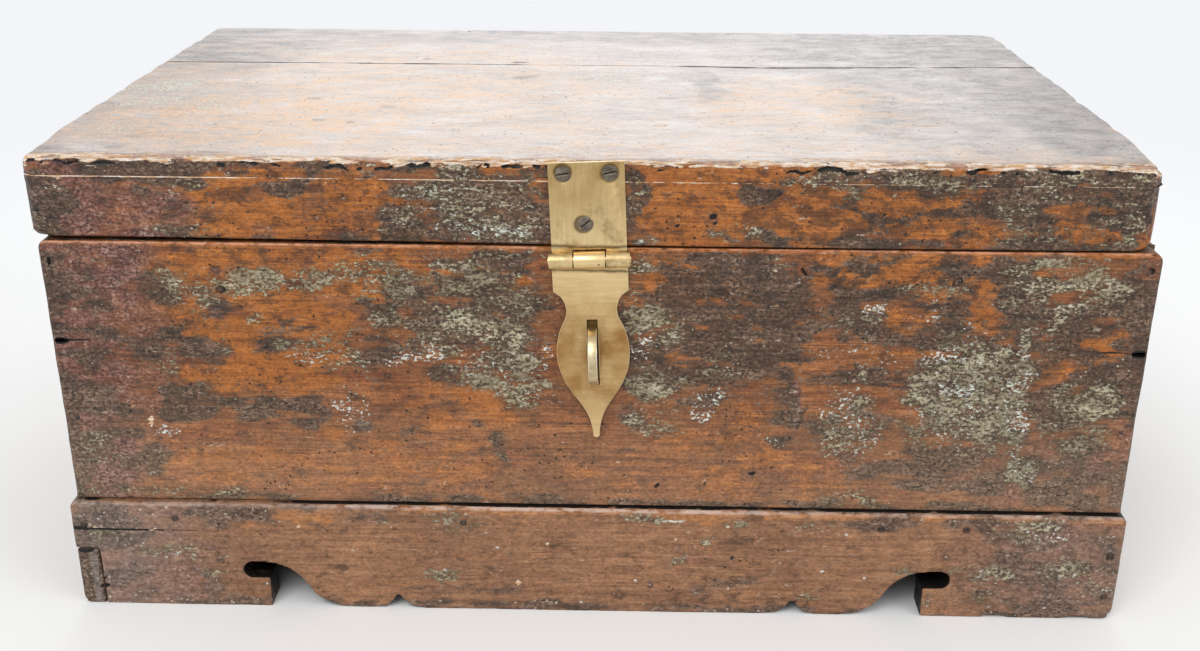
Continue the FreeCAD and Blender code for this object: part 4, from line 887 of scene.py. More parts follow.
def wornBoard(name, node, body, slot, material, step, radii, finish, finer=((), (), ()), shape=None,
              seed=1, along=0, wear=1.0, corners=None, flush=()):
    low, high = boxOf(node)
    stops = [gridStops(low[a], high[a], step[a], finer[a]) for a in range(3)]
    start, faces = boxGrid(stops)
    points, normal, corner, soft = roundEdges(start, low, high, radii, flush)
    for cornerName, radius in (corners or {}).items():
        points = roundCorner(points, low, high, cornerName, radius)
    points = shapeBoard(points, normal, corner * soft * wear, seed, along)
    fields = finish(start, normal, corner)
    if shape:
        points, fields = shape(start, points, normal, corner, fields)
    piece = linkMesh(name, np.clip(points, boxLow, boxHigh), faces)
    piece.data.set_sharp_from_angle(angle=boardCrease)
    setMarks(piece, fields)
    return dress(piece, node, body, slot, material)


def facing(normal, axis, sign):
    return blend01(0.35, 0.8, normal[:, axis] * sign)


def indoorMarks(fields, start, weight, seed):
    # bare dusty wood where a face looks into the chest
    indoors = plainMarks(start, seed, dark=0.2, paint=0.0, bright=0.15, wash=0.25)
    return mergeMarks(fields, weight, indoors)


def frontMarks(fields, start, normal, table, pointTable, seed):
    read = readMarks(start[:, 0] - middle, start[:, 2], table, pointTable, seed)
    return mergeMarks(fields, blend01(0.02, 0.3, -normal[:, 1]), read)


caseFront = {"rubbedTop": (224.5, 227.0), "rimAbove": 226.2, "darkSides": 298}


def caseFrontFinish(start, normal, corner):
    x, z = start[:, 0] - middle, start[:, 2]
    fields = plainMarks(start, 40, dark=0.4, paint=0.03, bright=0.3)
    fields = indoorMarks(fields, start, facing(normal, 1, 1), 70)
    fields = frontMarks(fields, start, normal, caseFrontMarks, caseFrontSpots, 60)
    forward = blend01(0.0, 0.35, -normal[:, 1])
    # the top edge is rubbed paler, and the rim colour on its arris is also a painted highlight
    top = blend01(*caseFront["rubbedTop"], z) * forward
    fields["rim"] = np.clip(corner * 1.3, 0, 1) * (z > caseFront["rimAbove"]) * forward
    raiseMark(fields, "bright", top * 0.8)
    fields["dark"] = fields["dark"] * (1 - 0.7 * top)
    sides = np.clip(corner * 1.4, 0, 1) * (np.abs(x) > caseFront["darkSides"])
    raiseMark(fields, "dark", sides * 0.8)
    return fields


# the joint between the two front boards has split open at both ends
frontJoint = {
    "height": 169.3,
    "leftSplit": (-304, -301.5, -300, -292),
    "rightSplit": (293, 299, 302, 305),
    "leftGap": 1.5,
    "rightGap": 1.6,
    "depth": 9.0,
    "reach": 3.0,
    "dentDepth": 1.2,
}


def caseFrontShape(start, points, normal, corner, fields):
    x, z = start[:, 0] - middle, start[:, 2]
    depth = fade01(0.0, frontJoint["depth"], start[:, 1] - frontFace)
    left = frontJoint["leftGap"] * hump(x, *frontJoint["leftSplit"])
    right = frontJoint["rightGap"] * hump(x, *frontJoint["rightSplit"])
    opening = (left + right) * depth
    apart = 1 if z.min() > frontJoint["height"] - 1 else -1
    reach = fade01(0.0, frontJoint["reach"], np.abs(z - frontJoint["height"]))
    points[:, 2] += apart * opening * reach
    raiseMark(fields, "dirt", blend01(0.4, 1.0, opening) * blend01(0.45, 0.95, reach))
    dents = spots(x, z, caseFrontDents)
    points[:, 1] += frontJoint["dentDepth"] * dents * (start[:, 1] < frontFace + 0.1)
    return points, fields


seamRadii = {"edge": 0.8, "leftFront": 2.4, "rightFront": 2.6, "leftBack": 2.0, "rightBack": 2.0}
caseRadii = dict(seamRadii, edge=1.2, frontTop=2.0, backTop=1.4)
leftColumns = (-304.2, -280, 0.9)
endColumns = [leftColumns, (283, 305.8, 0.9)]
gashColumns = endColumns + [(109, 116, 0.45)]
wornBoard("frontUpperBoard", "front_board_upper", "case", "case_wood", caseWood, (2.3, 4, 2.0), caseRadii,
          caseFrontFinish, (gashColumns, (), [(211.5, 219, 0.45)]), caseFrontShape, seed=3,
          corners={"leftTop": 5.5, "rightTop": 6.5}, flush=("bottom",))
wornBoard("frontLowerBoard", "front_board_lower", "case", "case_wood", caseWood, (2.3, 4, 2.3), seamRadii,
          caseFrontFinish, (endColumns, (), ()), caseFrontShape, seed=3, flush=("top",))


def hiddenFinish(seed, inside, **amounts):
    # inside: the axis and sign of the face that looks into the chest
    def finish(start, normal, corner):
        fields = plainMarks(start, seed, **amounts)
        if inside:
            fields = indoorMarks(fields, start, facing(normal, *inside), seed + 30)
        fields["rim"] = corner * 0.7
        return fields
    return finish


backLook = {"dark": 0.5, "paint": 0.12, "bright": 0.16}
endLook = {"dark": 0.5, "paint": 0.15, "bright": 0.22, "stain": 0.25}
lidEndLook = {"dark": 0.5, "paint": 0.12, "bright": 0.22, "stain": 0.2}
wallStep = (3.4, 4, 3.0)
endStep = (4, 3.4, 3.0)

for name, node, radii, seed in (("backUpperBoard", "back_board_upper", caseRadii, 21),
                                ("backLowerBoard", "back_board_lower", seamRadii, 22)):
    wornBoard(name, node, "case", "case_wood", caseWood, wallStep, radii,
              hiddenFinish(seed, (1, -1), **backLook), seed=seed)
endSeamRadii = {"edge": 0.3}
endRadii = {"edge": 0.3, "leftTop": 2.2, "rightTop": 2.2}
for name, node, radii, sign, seed in (("leftUpperEnd", "left_end_upper", endRadii, 1, 31),
                                      ("leftLowerEnd", "left_end_lower", endSeamRadii, 1, 32),
                                      ("rightUpperEnd", "right_end_upper", endRadii, -1, 33),
                                      ("rightLowerEnd", "right_end_lower", endSeamRadii, -1, 34)):
    wornBoard(name, node, "case", "case_wood", endWood, endStep, radii,
              hiddenFinish(seed, (0, sign), **endLook), seed=seed, along=1, wear=0.3)
print("case boards made")


# lid
lidJoint = {  # between the two top boards, counted from the front face
    "depth": 246.3,
    "reach": 70,
    "line": ([-309, -200, -100, -40, 50, 110, 200, 300],
             [247, 249, 249.5, 248.5, 249.5, 246, 251, 256]),
    "width": ([-309, -220, -150, -110, -60, -45, 40, 55, 90, 130, 180, 300],
              [1.0, 1.5, 2.0, 1.9, 1.6, 0, 0, 1.8, 3.0, 3.0, 2.4, 1.5]),
    "closed": (-60, -35, 35, 60),
    "closedBelow": (267, 271),
    "closeBy": 0.25,
}
lidEnds = ((-309, 1, 51), (300.5, -1, 53))  # place, direction inwards, seed
endReach = 14
endChips = {1: [(128, 7, 1.4), (40, 6, 1.0), (330, 9, 1.2)],
            -1: [(84, 7, 2.0), (158, 9, 2.2), (206, 5, 1.2), (262, 6, 1.8), (330, 8, 1.4)]}


def lidTopFinish(start, normal, corner):
    x, y, z = start[:, 0] - middle, start[:, 1] - frontFace, start[:, 2]
    fields = plainMarks(start, 70, dark=0.4, paint=0.05, bright=0.3)
    fields = indoorMarks(fields, start, z < z.min() + 0.1, 100)
    fields = frontMarks(fields, start, normal, lidFrontMarks, lidFrontSpots, 80)
    top = readMarks(x, y, lidTopMarks, lidTopSpots, 90)
    # the lid top is covered almost wholly in pale bleached wood that is also a painted sheen
    top["wash"] = np.full(len(x), 0.94)
    width = np.interp(x, *lidJoint["width"]) * (0.8 + 0.4 * alongX(x, 12, 57))
    joint = fade01(0.6, 1.3, np.abs(y - lidJoint["depth"]) / np.maximum(width, 0.05))
    top["dirt"] = np.maximum(top["dirt"], joint * (width > 0.1))
    return mergeMarks(fields, blend01(0.5, 0.85, normal[:, 2]), top)


def endInset(y, seed):
    # how far the lid's ends have worn in, along their depth
    return np.maximum(0, 0.5 + 0.55 * alongX(y, 60, seed) + 0.5 * alongX(y, 9, seed + 1))


def lidTopShape(start, points, normal, corner, fields):
    x, y, z = start[:, 0] - middle, start[:, 1] - frontFace, start[:, 2]
    isBack = start[:, 1].max() > 100
    # the joint wanders, and is closed for 95 mm near the middle and everywhere lower down
    wander = np.interp(x, *lidJoint["line"]) - lidJoint["depth"]
    reach = fade01(0, lidJoint["reach"], np.abs(y - lidJoint["depth"]))
    closed = np.maximum(hump(x, *lidJoint["closed"]), fade01(*lidJoint["closedBelow"], z))
    closed = (-1 if isBack else 1) * lidJoint["closeBy"] * closed
    points[:, 1] += (wander + closed) * reach
    for edge, sign, seed in lidEnds:
        near = fade01(0, endReach, (x - edge) * sign)
        for centre, half, deep in endChips[sign]:
            across = fade01(0.5, 1.0, np.abs(y - centre + 0.3 * (z - 270)) / half)
            points[:, 0] += sign * near * across * deep * (0.8 + 0.4 * alongX(y, 3, seed + 2))
        points[:, 0] += sign * near * endInset(y, seed)
    if isBack:
        return points, fields
    return tornEdge(start, points, normal, corner, fields)


frontEdge = {
    "radius": 3.5,
    "least": 1.8,
    "most": 6.6,
    "top": 276,
    "tornAbove": (267.5, 271.5),
    "tornReach": 9,
    "grooveHeight": 271.9,
    "grooveDepth": 0.9,
    "grooveReach": 6,
}


def frontEdgeWear(points):
    x = points[:, 0] - middle
    worn = frontEdge["radius"] + 1.2 * alongX(x, 46, 5) + 0.7 * alongX(x, 11, 8)
    worn = worn + 1.6 * blend01(230, 300, x) + 1.2 * fade01(-300, -270, x)
    return np.clip(worn, frontEdge["least"], frontEdge["most"])


def tornEdge(start, points, normal, corner, fields):
    # broken fibres along the lid's front edge, bites out of it and a groove under it, painted black as
    # shadow
    x, y, z = start[:, 0] - middle, start[:, 1] - frontFace, start[:, 2]
    zone = blend01(0.05, 0.5, corner) * (y < frontEdge["tornReach"]) * blend01(*frontEdge["tornAbove"], z)
    torn = fractal(start, (26, 1.5, 1.5), 61, 3) * 0.75 + fractal(start, (7, 1.1, 1.1), 62, 3) * 0.4
    points += normal * (zone * (torn - 0.35))[:, None]
    bite = np.zeros(len(x))
    down = frontEdge["top"] - z
    for centre, half, tall, deep in ledgeBites:
        across = fade01(0.35, 1.0, np.abs(x - centre) / half)
        lip = tall + alongX(x, 6, 71)
        within = across * fade01(-0.3, 0.5, down - lip) * fade01(0, 7, y)
        bite = np.maximum(bite, deep * within)
    bite = np.maximum(0, bite * (0.75 + 0.35 * fractal(start, (9, 2, 1.3), 63, 3)))
    points[:, 1] += bite
    points[:, 2] -= 0.35 * bite * blend01(0.3, 1, normal[:, 2])
    lip = blend01(0.5, 0.9, normal[:, 2]) * fade01(4, 12, y + 4 * fractal(start, (30, 6, 6), 66, 3))
    pale = np.clip(zone * 1.4 + bite * 0.5 + 0.85 * lip, 0, 1)
    broken = blend01(-0.45, 0.3, fractal(start, (12, 2.4, 2.4), 64, 4) + 0.25)
    groove = frontEdge["grooveHeight"] + 0.9 * alongX(x, 30, 72) + alongX(x, 6, 73)
    thick = np.clip(0.22 + 0.75 * alongX(x, 13, 74) + 0.65 * alongX(x, 3.5, 75), 0.1, 1.0)
    under = fade01(0.6, 1.5, np.abs(z - groove) / thick) * (y < frontEdge["grooveReach"])
    under = under * blend01(0.2, 0.5, thick)
    points[:, 1] += frontEdge["grooveDepth"] * under
    raiseMark(fields, "bare", pale * broken * 0.9)
    fields["bare"] = fields["bare"] * (1 - under)
    # painted shadow in the groove under the torn edge
    raiseMark(fields, "dirt", under * 0.95)
    fields["wash"] = fields["wash"] * (1 - 0.5 * lip)
    fields["rim"] = zone * 0.5
    return points, fields


def endTopRadius(points):
    return 2.6 + 4.4 * fade01(0, 60, points[:, 1] - frontFace)


def jointRadius(points):
    x = points[:, 0]
    right = 0.9 * blend01(50, 90, x) * (1 - 0.5 * blend01(180, 300, x))
    return 0.25 + right + 0.5 * fade01(-120, -60, x)


def leftOutline(points):
    return 2.6 + 5.4 * fade01(0, 70, points[:, 1] - frontFace)


def rightOutline(points):
    return 2.6 + 6.4 * fade01(0, 80, points[:, 1] - frontFace)


lidFrontRadii = {"edge": 0.9, "frontTop": frontEdgeWear, "leftFront": 10.0, "rightFront": 10.0,
                 "leftTop": endTopRadius, "rightTop": endTopRadius, "backTop": jointRadius}
lidBackRadii = {"edge": 0.9, "backTop": 2.6, "leftTop": 2.6, "rightTop": 2.6, "frontTop": jointRadius}
wornBoard("lidTopFrontBoard", "lid_top_front", "lid", "lid_wood", lidWood, (1.5, 5.0, 1.2), lidFrontRadii,
          lidTopFinish, ([(-300, 292, 1.35)], [(-185.65, -174, 0.62)], [(268, 275.7, 0.62)]), lidTopShape,
          seed=11, wear=0.4, corners={"leftTop": leftOutline, "rightTop": rightOutline}, flush=("bottom",))
wornBoard("lidTopBackBoard", "lid_top_back", "lid", "lid_wood", lidWood, (3.0, 4.0, 1.6), lidBackRadii,
          lidTopFinish, ([(-308.7, -290, 1.2), (283, 301.3, 1.2)], [(180, 196.35, 1.2)], ()), lidTopShape,
          seed=12, wear=0.8, corners={"leftBack": 10.0, "rightBack": 15.0, "leftTop": 2.6, "rightTop": 2.6},
          flush=("bottom",))


rail = {"bottom": 228.9, "paleLine": (264.2, 264.7)}


def railFinish(start, normal, corner):
    x, z = start[:, 0] - middle, start[:, 2]
    fields = plainMarks(start, 75, dark=0.45, paint=0.03, bright=0.25)
    fields = indoorMarks(fields, start, facing(normal, 1, 1), 105)
    fields = frontMarks(fields, start, normal, lidFrontMarks, lidFrontSpots, 80)
    # a pale line where the rail meets the top board: a painted highlight along the rail's top arris
    line = blend01(*rail["paleLine"], z) * blend01(0.0, 0.3, -normal[:, 1])
    strength = 0.9 - 0.3 * blend01(-220, -120, x) + 0.25 * alongX(x, 18, 58)
    raiseMark(fields, "bare", line * strength)
    fields["dirt"] = fields["dirt"] * (1 - line)
    return fields


def railShape(start, points, normal, corner, fields):
    x, y = start[:, 0] - middle, start[:, 1] - frontFace
    low = fade01(0, 5, start[:, 2] - rail["bottom"])
    points[:, 2] += low * (1.1 * fade01(-300, 60, x)) * fade01(2, 9, y)
    for edge, sign, seed in lidEnds:
        near = fade01(0, endReach, (x - edge) * sign) * fade01(8, 16, y)
        points[:, 0] += sign * near * endInset(y, seed)
    return points, fields


def railBottom(points):
    x = points[:, 0]
    ends = 5 * fade01(-306, -292, x) + 5.5 * blend01(286, 299, x)
    return 2.4 - 1.4 * blend01(-300, 200, x) + ends


railRadii = {"edge": 0.8, "frontBottom": railBottom, "leftBottom": 6.0, "rightBottom": 6.0,
             "leftFront": 10.0, "rightFront": 10.0}
wornBoard("lidFrontRail", "lid_front_rail", "lid", "lid_wood", lidWood, (2.0, 4, 1.5), railRadii,
          railFinish, ([leftColumns, (282, 301.3, 0.9)], (), ()), railShape, seed=13,
          corners={"leftBottom": 4.5, "rightBottom": 3.5}, flush=("top",))
wornBoard("lidBackRail", "lid_back_rail", "lid", "lid_wood", lidWood, wallStep,
          {"edge": 1.0, "backTop": 0.5}, hiddenFinish(76, (1, -1), **backLook), seed=14)
endRailRadii = {"edge": 0.4, "leftBottom": 1.6, "rightBottom": 1.6}
for name, node, sign, seed in (("lidLeftRail", "lid_left_rail", 1, 77),
                               ("lidRightRail", "lid_right_rail", -1, 78)):
    wornBoard(name, node, "lid", "lid_wood", endWood, endStep, endRailRadii,
              hiddenFinish(seed, (0, sign), **lidEndLook), seed=seed, along=1, wear=0.4)
print("lid boards made")


# plinth
weldWithin = 1e-6  # metres


def weldedCopy(node):
    work = bmesh.new()
    work.from_mesh(nodes[node].data)
    bmesh.ops.remove_doubles(work, verts=work.verts, dist=weldWithin)
    return work


def linkWork(name, work):
    mesh = bpy.data.meshes.new(name)
    work.to_mesh(mesh)
    work.free()
    piece = bpy.data.objects.new(name, mesh)
    bpy.context.scene.collection.objects.link(piece)
    return piece


def remeshed(name, node, voxel):
    piece = linkWork(name, weldedCopy(node))
    coarse = piece.data
    remesh = piece.modifiers.new("remesh", "REMESH")
    remesh.mode = "VOXEL"
    remesh.voxel_size = voxel
    remesh.use_smooth_shade = True
    smooth = piece.modifiers.new("smooth", "SMOOTH")
    smooth.factor = 0.5
    smooth.iterations = 2
    bpy.context.view_layer.update()
    shown = piece.evaluated_get(bpy.context.evaluated_depsgraph_get())
    fine = bpy.data.meshes.new_from_object(shown)
    piece.modifiers.clear()
    piece.data = fine
    bpy.data.meshes.remove(coarse)
    fine.materials.clear()
    return piece


def meshPoints(piece):
    found = []
    for name in ("co", "normal"):
        values = np.zeros(len(piece.data.vertices) * 3)
        piece.data.vertices.foreach_get(name, values)
        found.append(values.reshape(-1, 3))
    return found[0] * 1000, found[1]


def finishPlinthBoard(piece, node, points, fields, corners, material):
    low, high = boxOf(node)
    for cornerName, radius in corners.items():
        points = roundCorner(points, low, high, cornerName, radius)
    points = np.clip(points, boxLow, boxHigh)
    piece.data.vertices.foreach_set("co", (points / 1000).ravel())
    piece.data.update()
    setMarks(piece, fields)
    dress(piece, node, "case", "plinth_wood", material)


plinthFront = {
    "voxel": 0.0012,
    "crack": ([-308, -290, -250, -190, -133], [52.2, 50.6, 51.2, 51.8, 53.6]),
    "crackEnd": -132,
    "crackDepth": 0.9,
    "gouges": [(238, 1.0, 7, 3.2), (287, -1, 9, 2.2)],
    "crackFades": (-280, -200),
    "lipFades": (-225, -200),
    "gougesBelow": 6,
    "cutBelow": 60,
    "cutWithin": 300,
    "cutDepth": 1.6,
    "ledge": 66,
    "ledgeBack": (-188.6, -187.2),
    "corners": {"rightTop": 5.0, "rightBottom": 7.0, "leftTop": 4.0},
}


def addPlinthFront(look):
    piece = remeshed("plinthFrontBoard", "plinth_front", look["voxel"])
    points, normals = meshPoints(piece)
    x, z = points[:, 0] - middle, points[:, 2]
    front = blend01(0.35, 0.8, -normals[:, 1])
    fields = plainMarks(points, 85, dark=0.5, paint=0.03, bright=0.15)
    # faces in the cut-outs are painted dark: painted shade under the chest
    cutShade = fade01(0.3, 0.7, np.abs(normals[:, 1])) * (z < look["cutBelow"])
    cutShade = cutShade * (np.abs(x) < look["cutWithin"])
    raiseMark(fields, "dark", cutShade)
    fields["dirt"] = cutShade * 0.55
    fields = mergeMarks(fields, front, readMarks(x, z, plinthMarks, plinthSpots, 95))
    # the ledge: a painted highlight along its front and on the board's top arris, and painted shadow in the
    # gap against the case
    ledge = blend01(0.3, 0.8, normals[:, 2]) * (z > look["ledge"])
    ledgeShadow = ledge * blend01(*look["ledgeBack"], points[:, 1])
    grime = 0.3 + 0.5 * blend01(-200, -150, x) + 0.35 * alongX(x, 14, 38)
    rim = ledge * (0.35 + 0.4 * blend01(-165, -140, x) - 0.35 * blend01(60, 150, x))
    fields["rim"] = rim * (1 - ledgeShadow)
    raiseMark(fields, "bright", blend01(64, 67, z) * blend01(-170, -120, x) * 0.8)
    # a crack runs in from the left end, with a lifted lip above it
    height = np.interp(x, *look["crack"]) + 0.5 * alongX(x, 9, 33)
    crack = fade01(0.2, 0.8, np.abs(z - height)) * (1 - 0.75 * blend01(*look["crackFades"], x))
    crack = crack * (x < look["crackEnd"]) * front
    ridge = fade01(0.6, 1.6, np.abs(z - height - 1.3)) * fade01(*look["lipFades"], x) * front
    raiseMark(fields, "dirt", crack * 0.8)
    raiseMark(fields, "dirt", ledgeShadow * np.clip(grime, 0, 1))
    raiseMark(fields, "bare", ridge * 0.24)
    fields["wash"] = front * (0.13 * fade01(*look["crackFades"], x) + 0.05 * blend01(220, 280, x))
    chips = np.maximum(0, fractal(points, (13, 13, 13), 36, 4) - 0.1)
    arris = 1 - np.abs(normals).max(axis=1)
    move = 0.25 * fractal(points, (120, 30, 30), 35, 3) - 0.25 - 2.2 * arris * chips
    move = move - look["crackDepth"] * crack - look["cutDepth"] * spots(x, z, plinthPits) * front
    points = points + normals * move[:, None]
    points[:, 2] += look["cutDepth"] * spots(x, z, look["gouges"]) * (z < look["gougesBelow"])
    finishPlinthBoard(piece, "plinth_front", points, fields, look["corners"], plinthWood)


plinthTail = {"voxel": 0.0016, "paleLine": -297, "corners": {"leftBottom": 5.0}}


def addPlinthTail(look):
    piece = remeshed("plinthLeftBoard", "plinth_left", look["voxel"])
    points, normals = meshPoints(piece)
    front = blend01(0.35, 0.8, -normals[:, 1])
    fields = plainMarks(points, 86, dark=0.55, paint=0.08, bright=0.2)
    read = readMarks(points[:, 0] - middle, points[:, 2], plinthMarks, plinthSpots, 95)
    fields = mergeMarks(fields, front, read)
    raiseMark(fields, "dark", front)
    raiseMark(fields, "paint", front * 0.3)
    fields["wash"] = front * 0.35 * fade01(1, 3, np.abs(points[:, 0] - look["paleLine"]))
    fields["bright"] = fields["bright"] * (1 - front)
    points = points + normals * (0.2 * fractal(points, (20, 90, 20), 37, 3) - 0.25)[:, None]
    finishPlinthBoard(piece, "plinth_left", points, fields, look["corners"], plinthEndWood)


addPlinthFront(plinthFront)
addPlinthTail(plinthTail)
wornBoard("plinthRightBoard", "plinth_right", "case", "plinth_wood", plinthEndWood, (4, 3.6, 3.0),
          {"edge": 1.4}, hiddenFinish(87, None, dark=0.5, paint=0.1, bright=0.2), seed=87, along=1)
wornBoard("plinthBackBoard", "plinth_back", "case", "plinth_wood", plinthWood, (3.6, 4, 3.0),
          {"edge": 1.6}, hiddenFinish(88, None, dark=0.5, paint=0.08, bright=0.2), seed=88)
print("plinth made")


# plain wood inside
innerColours = {
    "light": tint(132, 92, 62),
    "dark": tint(88, 56, 36),
    "dust": tint(120, 104, 88),
    "grime": tint(58, 44, 36),
}


def innerWood(name, grain):
    material, tree, shader = newMaterial(name)
    place = put(tree, "TexCoord").outputs["Object"]
    streaks = useGroup(tree, woodGrain, {"Vector": stretch(tree, place, grain), "Figure": 0.3})
    base = mixColour(tree, streaks["Streak"], innerColours["dark"], innerColours["light"])
    dust = noiseTexture(tree, place, 22.0, 6.0, 0.65)
    base = mixColour(tree, remap(tree, dust, 0.45, 0.7, 0.0, 0.5), base, innerColours["dust"])
    grime = useGroup(tree, flakes, {"Vector": place, "Amount": 0.3, "Size": 40.0, "Softness": 0.15})
    base = cover(tree, base, innerColours["grime"], grime["Mask"], 0.5)
    rough = remap(tree, dust, 0.3, 0.7, 0.6, 0.8)
    finishShader(tree, shader, base, rough, streaks["Height"], 0.4, 0.0005)
    return material


def assign(material, *names):
    for name in names:
        for slot in nodes[name].material_slots:
            slot.material = material


innerMaterial = innerWood("innerWood", alongBoard)
assign(innerMaterial, "floor_board_front", "floor_board_back", "cleat_front", "cleat_back")


# metal
alongLeaf = (60.0, 500.0, 500.0)
ringInner, ringOuter = 0.0045, 0.0056  # of the dark ring round a screw's head, in metres
metalColours = {
    "scratch": tint(138, 108, 62),
    "tarnish": tint(122, 98, 60),
    "grime": tint(70, 50, 28),
    "screwRing": tint(62, 46, 26),
    "pit": tint(40, 30, 20),
    "slot": tint(14, 12, 10),
}


def brass(name, warm, pale, grain=alongLeaf, tarnish=0.35, reflectionBands=None, screws=(), grimeAndShadowLine=None):
    # the height bands, a painted reflection: heights in millimetres, and how bright the metal is painted
    # there
    # screws: x and z of each head; the dark line: height and half width, grime above the barrel on the
    # strap and painted shadow under the barrel on the leaf
    material, tree, shader = newMaterial(name)
    place = put(tree, "TexCoord").outputs["Object"]
    lines = noiseTexture(tree, stretch(tree, place, grain), 1.0, 3.0, 0.6)
    cloud = noiseTexture(tree, place, 70.0, 6.0, 0.62)
    base = mixColour(tree, remap(tree, cloud, 0.35, 0.65, 0.0, 0.5), warm, pale)
    if reflectionBands:
        lowest, highest = reflectionBands[0][0], reflectionBands[-1][0]
        height = put(tree, "SeparateXYZ", {0: place}).outputs[2]
        wavy = sway(tree, cloud, 0.004, height)
        level = remap(tree, sway(tree, cloud, 0.01, height), lowest / 1000, highest / 1000)
        rubbed = put(tree, "ValToRGB", {0: level})
        stops = rubbed.color_ramp.elements
        for n, (mark, amount) in enumerate(reflectionBands):
            stop = stops[n] if n < 2 else stops.new(1.0)
            stop.position = (mark - lowest) / (highest - lowest)
            stop.color = (amount, amount, amount, 1)
        base = mixColour(tree, rubbed.outputs[0], base, pale)
        off = calc(tree, "ABSOLUTE", calc(tree, "SUBTRACT", wavy, grimeAndShadowLine[0] / 1000))
        grime = remap(tree, off, 0.0, grimeAndShadowLine[1] / 1000, 0.9, 0.0)
        base = mixColour(tree, grime, base, metalColours["grime"])
    base = mixColour(tree, remap(tree, lines, 0.35, 0.7, 0.0, 0.25), base, metalColours["scratch"])
    for x, z in screws:
        flat = put(tree, "VectorMath", {0: place, 1: (1, 0, 1)}, operation="MULTIPLY").outputs[0]
        reach = put(tree, "VectorMath", {0: flat, 1: (x / 1000, 0, z / 1000)}, operation="DISTANCE")
        reach = sway(tree, cloud, 0.002, reach.outputs["Value"])
        ring = remap(tree, reach, ringInner, ringOuter, 0.75, 0.0)
        base = mixColour(tree, ring, base, metalColours["screwRing"])
    dull = useGroup(tree, flakes, {"Vector": place, "Amount": tarnish, "Size": 55.0, "Softness": 0.2})
    base = cover(tree, base, metalColours["tarnish"], dull["Mask"], 0.5)
    pits = useGroup(tree, specks, {"Vector": place, "Scale": 220.0, "Amount": 0.05, "Size": 0.16})
    base = mixColour(tree, pits["Mask"], base, metalColours["pit"])
    shader.inputs["Metallic"].default_value = 1.0
    rough = calc(tree, "MULTIPLY_ADD", dull["Mask"], 0.12, remap(tree, lines, 0.3, 0.7, 0.3, 0.42))
    relief = calc(tree, "SUBTRACT", calc(tree, "MULTIPLY", lines, 0.3), pits["Mask"])
    finishShader(tree, shader, base, rough, relief, 0.25, 0.0002)
    return material


def darkMetal(name, base, rust, shine, roughness, slotShadeFrom=None):
    material, tree, shader = newMaterial(name)
    place = put(tree, "TexCoord").outputs["Object"]
    cloud = noiseTexture(tree, place, 160.0, 6.0, 0.65)
    colour = mixColour(tree, remap(tree, cloud, 0.35, 0.65), base, shine)
    rusty = useGroup(tree, flakes, {"Vector": place, "Amount": 0.4, "Size": 150.0, "Softness": 0.1})
    colour = cover(tree, colour, rust, rusty["Mask"], 0.7)
    if slotShadeFrom:  # from this depth back, a screw's slot is painted dark inside: painted shade in the recess
        depth = put(tree, "SeparateXYZ", {0: place}).outputs[1]
        slotShade = remap(tree, depth, slotShadeFrom / 1000, slotShadeFrom / 1000 + 0.0003, 0.0, 0.9)
        colour = mixColour(tree, slotShade, colour, metalColours["slot"])
    metallic = calc(tree, "SUBTRACT", 1.0, calc(tree, "MULTIPLY", rusty["Mask"], 0.8))
    feed(tree, shader, {"Metallic": metallic})
    rough = remap(tree, cloud, 0.3, 0.7, roughness, roughness + 0.2)
    finishShader(tree, shader, colour, rough, cloud, 0.35, 0.0003)
    return material


screwsLow, screwsHigh = boxOf("strap_screws")
headRadius = 4.4
screwPlaces = [(screwsLow[0] + headRadius, screwsHigh[2] - headRadius),
               (screwsHigh[0] - headRadius, screwsHigh[2] - headRadius),
               ((screwsLow[0] + screwsHigh[0]) / 2 - 1.5, screwsLow[2] + headRadius)]
# bright and dark bands up the strap and the leaf: a painted reflection
strapReflectionBands = [(222, 1.0), (230, 1.0), (236, 0.9), (256, 0.35), (276, 0.1)]
leafReflectionBands = [(115, 1.0), (128, 0.6), (142, 0.14), (175, 0.04), (192, 0.35), (204, 0.8), (228, 1.0)]
strapBrass = brass("strapBrass", tint(160, 128, 78), tint(224, 198, 148), (900.0, 900.0, 40.0),
                   tarnish=0.25, reflectionBands=strapReflectionBands, screws=screwPlaces, grimeAndShadowLine=(229.4, 1.6))
# the leaf's dark line under the barrel is a painted shadow
leafBrass = brass("leafBrass", tint(152, 108, 56), tint(234, 206, 154), (50.0, 700.0, 700.0), tarnish=0.04,
                  reflectionBands=leafReflectionBands, grimeAndShadowLine=(216.2, 1.5))
# a paler brass for the rounded edge strips: a painted highlight
rimBrass = brass("rimBrass", tint(230, 212, 160), tint(240, 228, 190), tarnish=0.1)
stapleBrass = brass("stapleBrass", tint(206, 188, 146), tint(226, 214, 180))
# the staple's rounded edge strip: a painted highlight
stapleRim = brass("stapleRim", tint(240, 234, 214), tint(246, 243, 232), tarnish=0.1)
# near-black, grimy brass darkened further: painted shade behind the hasp's leaf
grimyBrass = brass("grimyBrass", tint(20, 16, 11), tint(52, 40, 24), tarnish=0.7)
forgedIron = darkMetal("forgedIron", tint(60, 54, 50), tint(84, 52, 36), tint(92, 84, 76), 0.5)
darkSteel = darkMetal("darkSteel", tint(84, 77, 68), tint(62, 50, 40), tint(138, 128, 112), 0.34,
                      slotShadeFrom=screwsLow[1] + 0.25)
# a paler steel for the screws' rounded edges: a painted highlight
brightSteel = darkMetal("brightSteel", tint(120, 110, 96), tint(80, 64, 50), tint(176, 166, 148), 0.3)


metalCrease = math.radians(38)
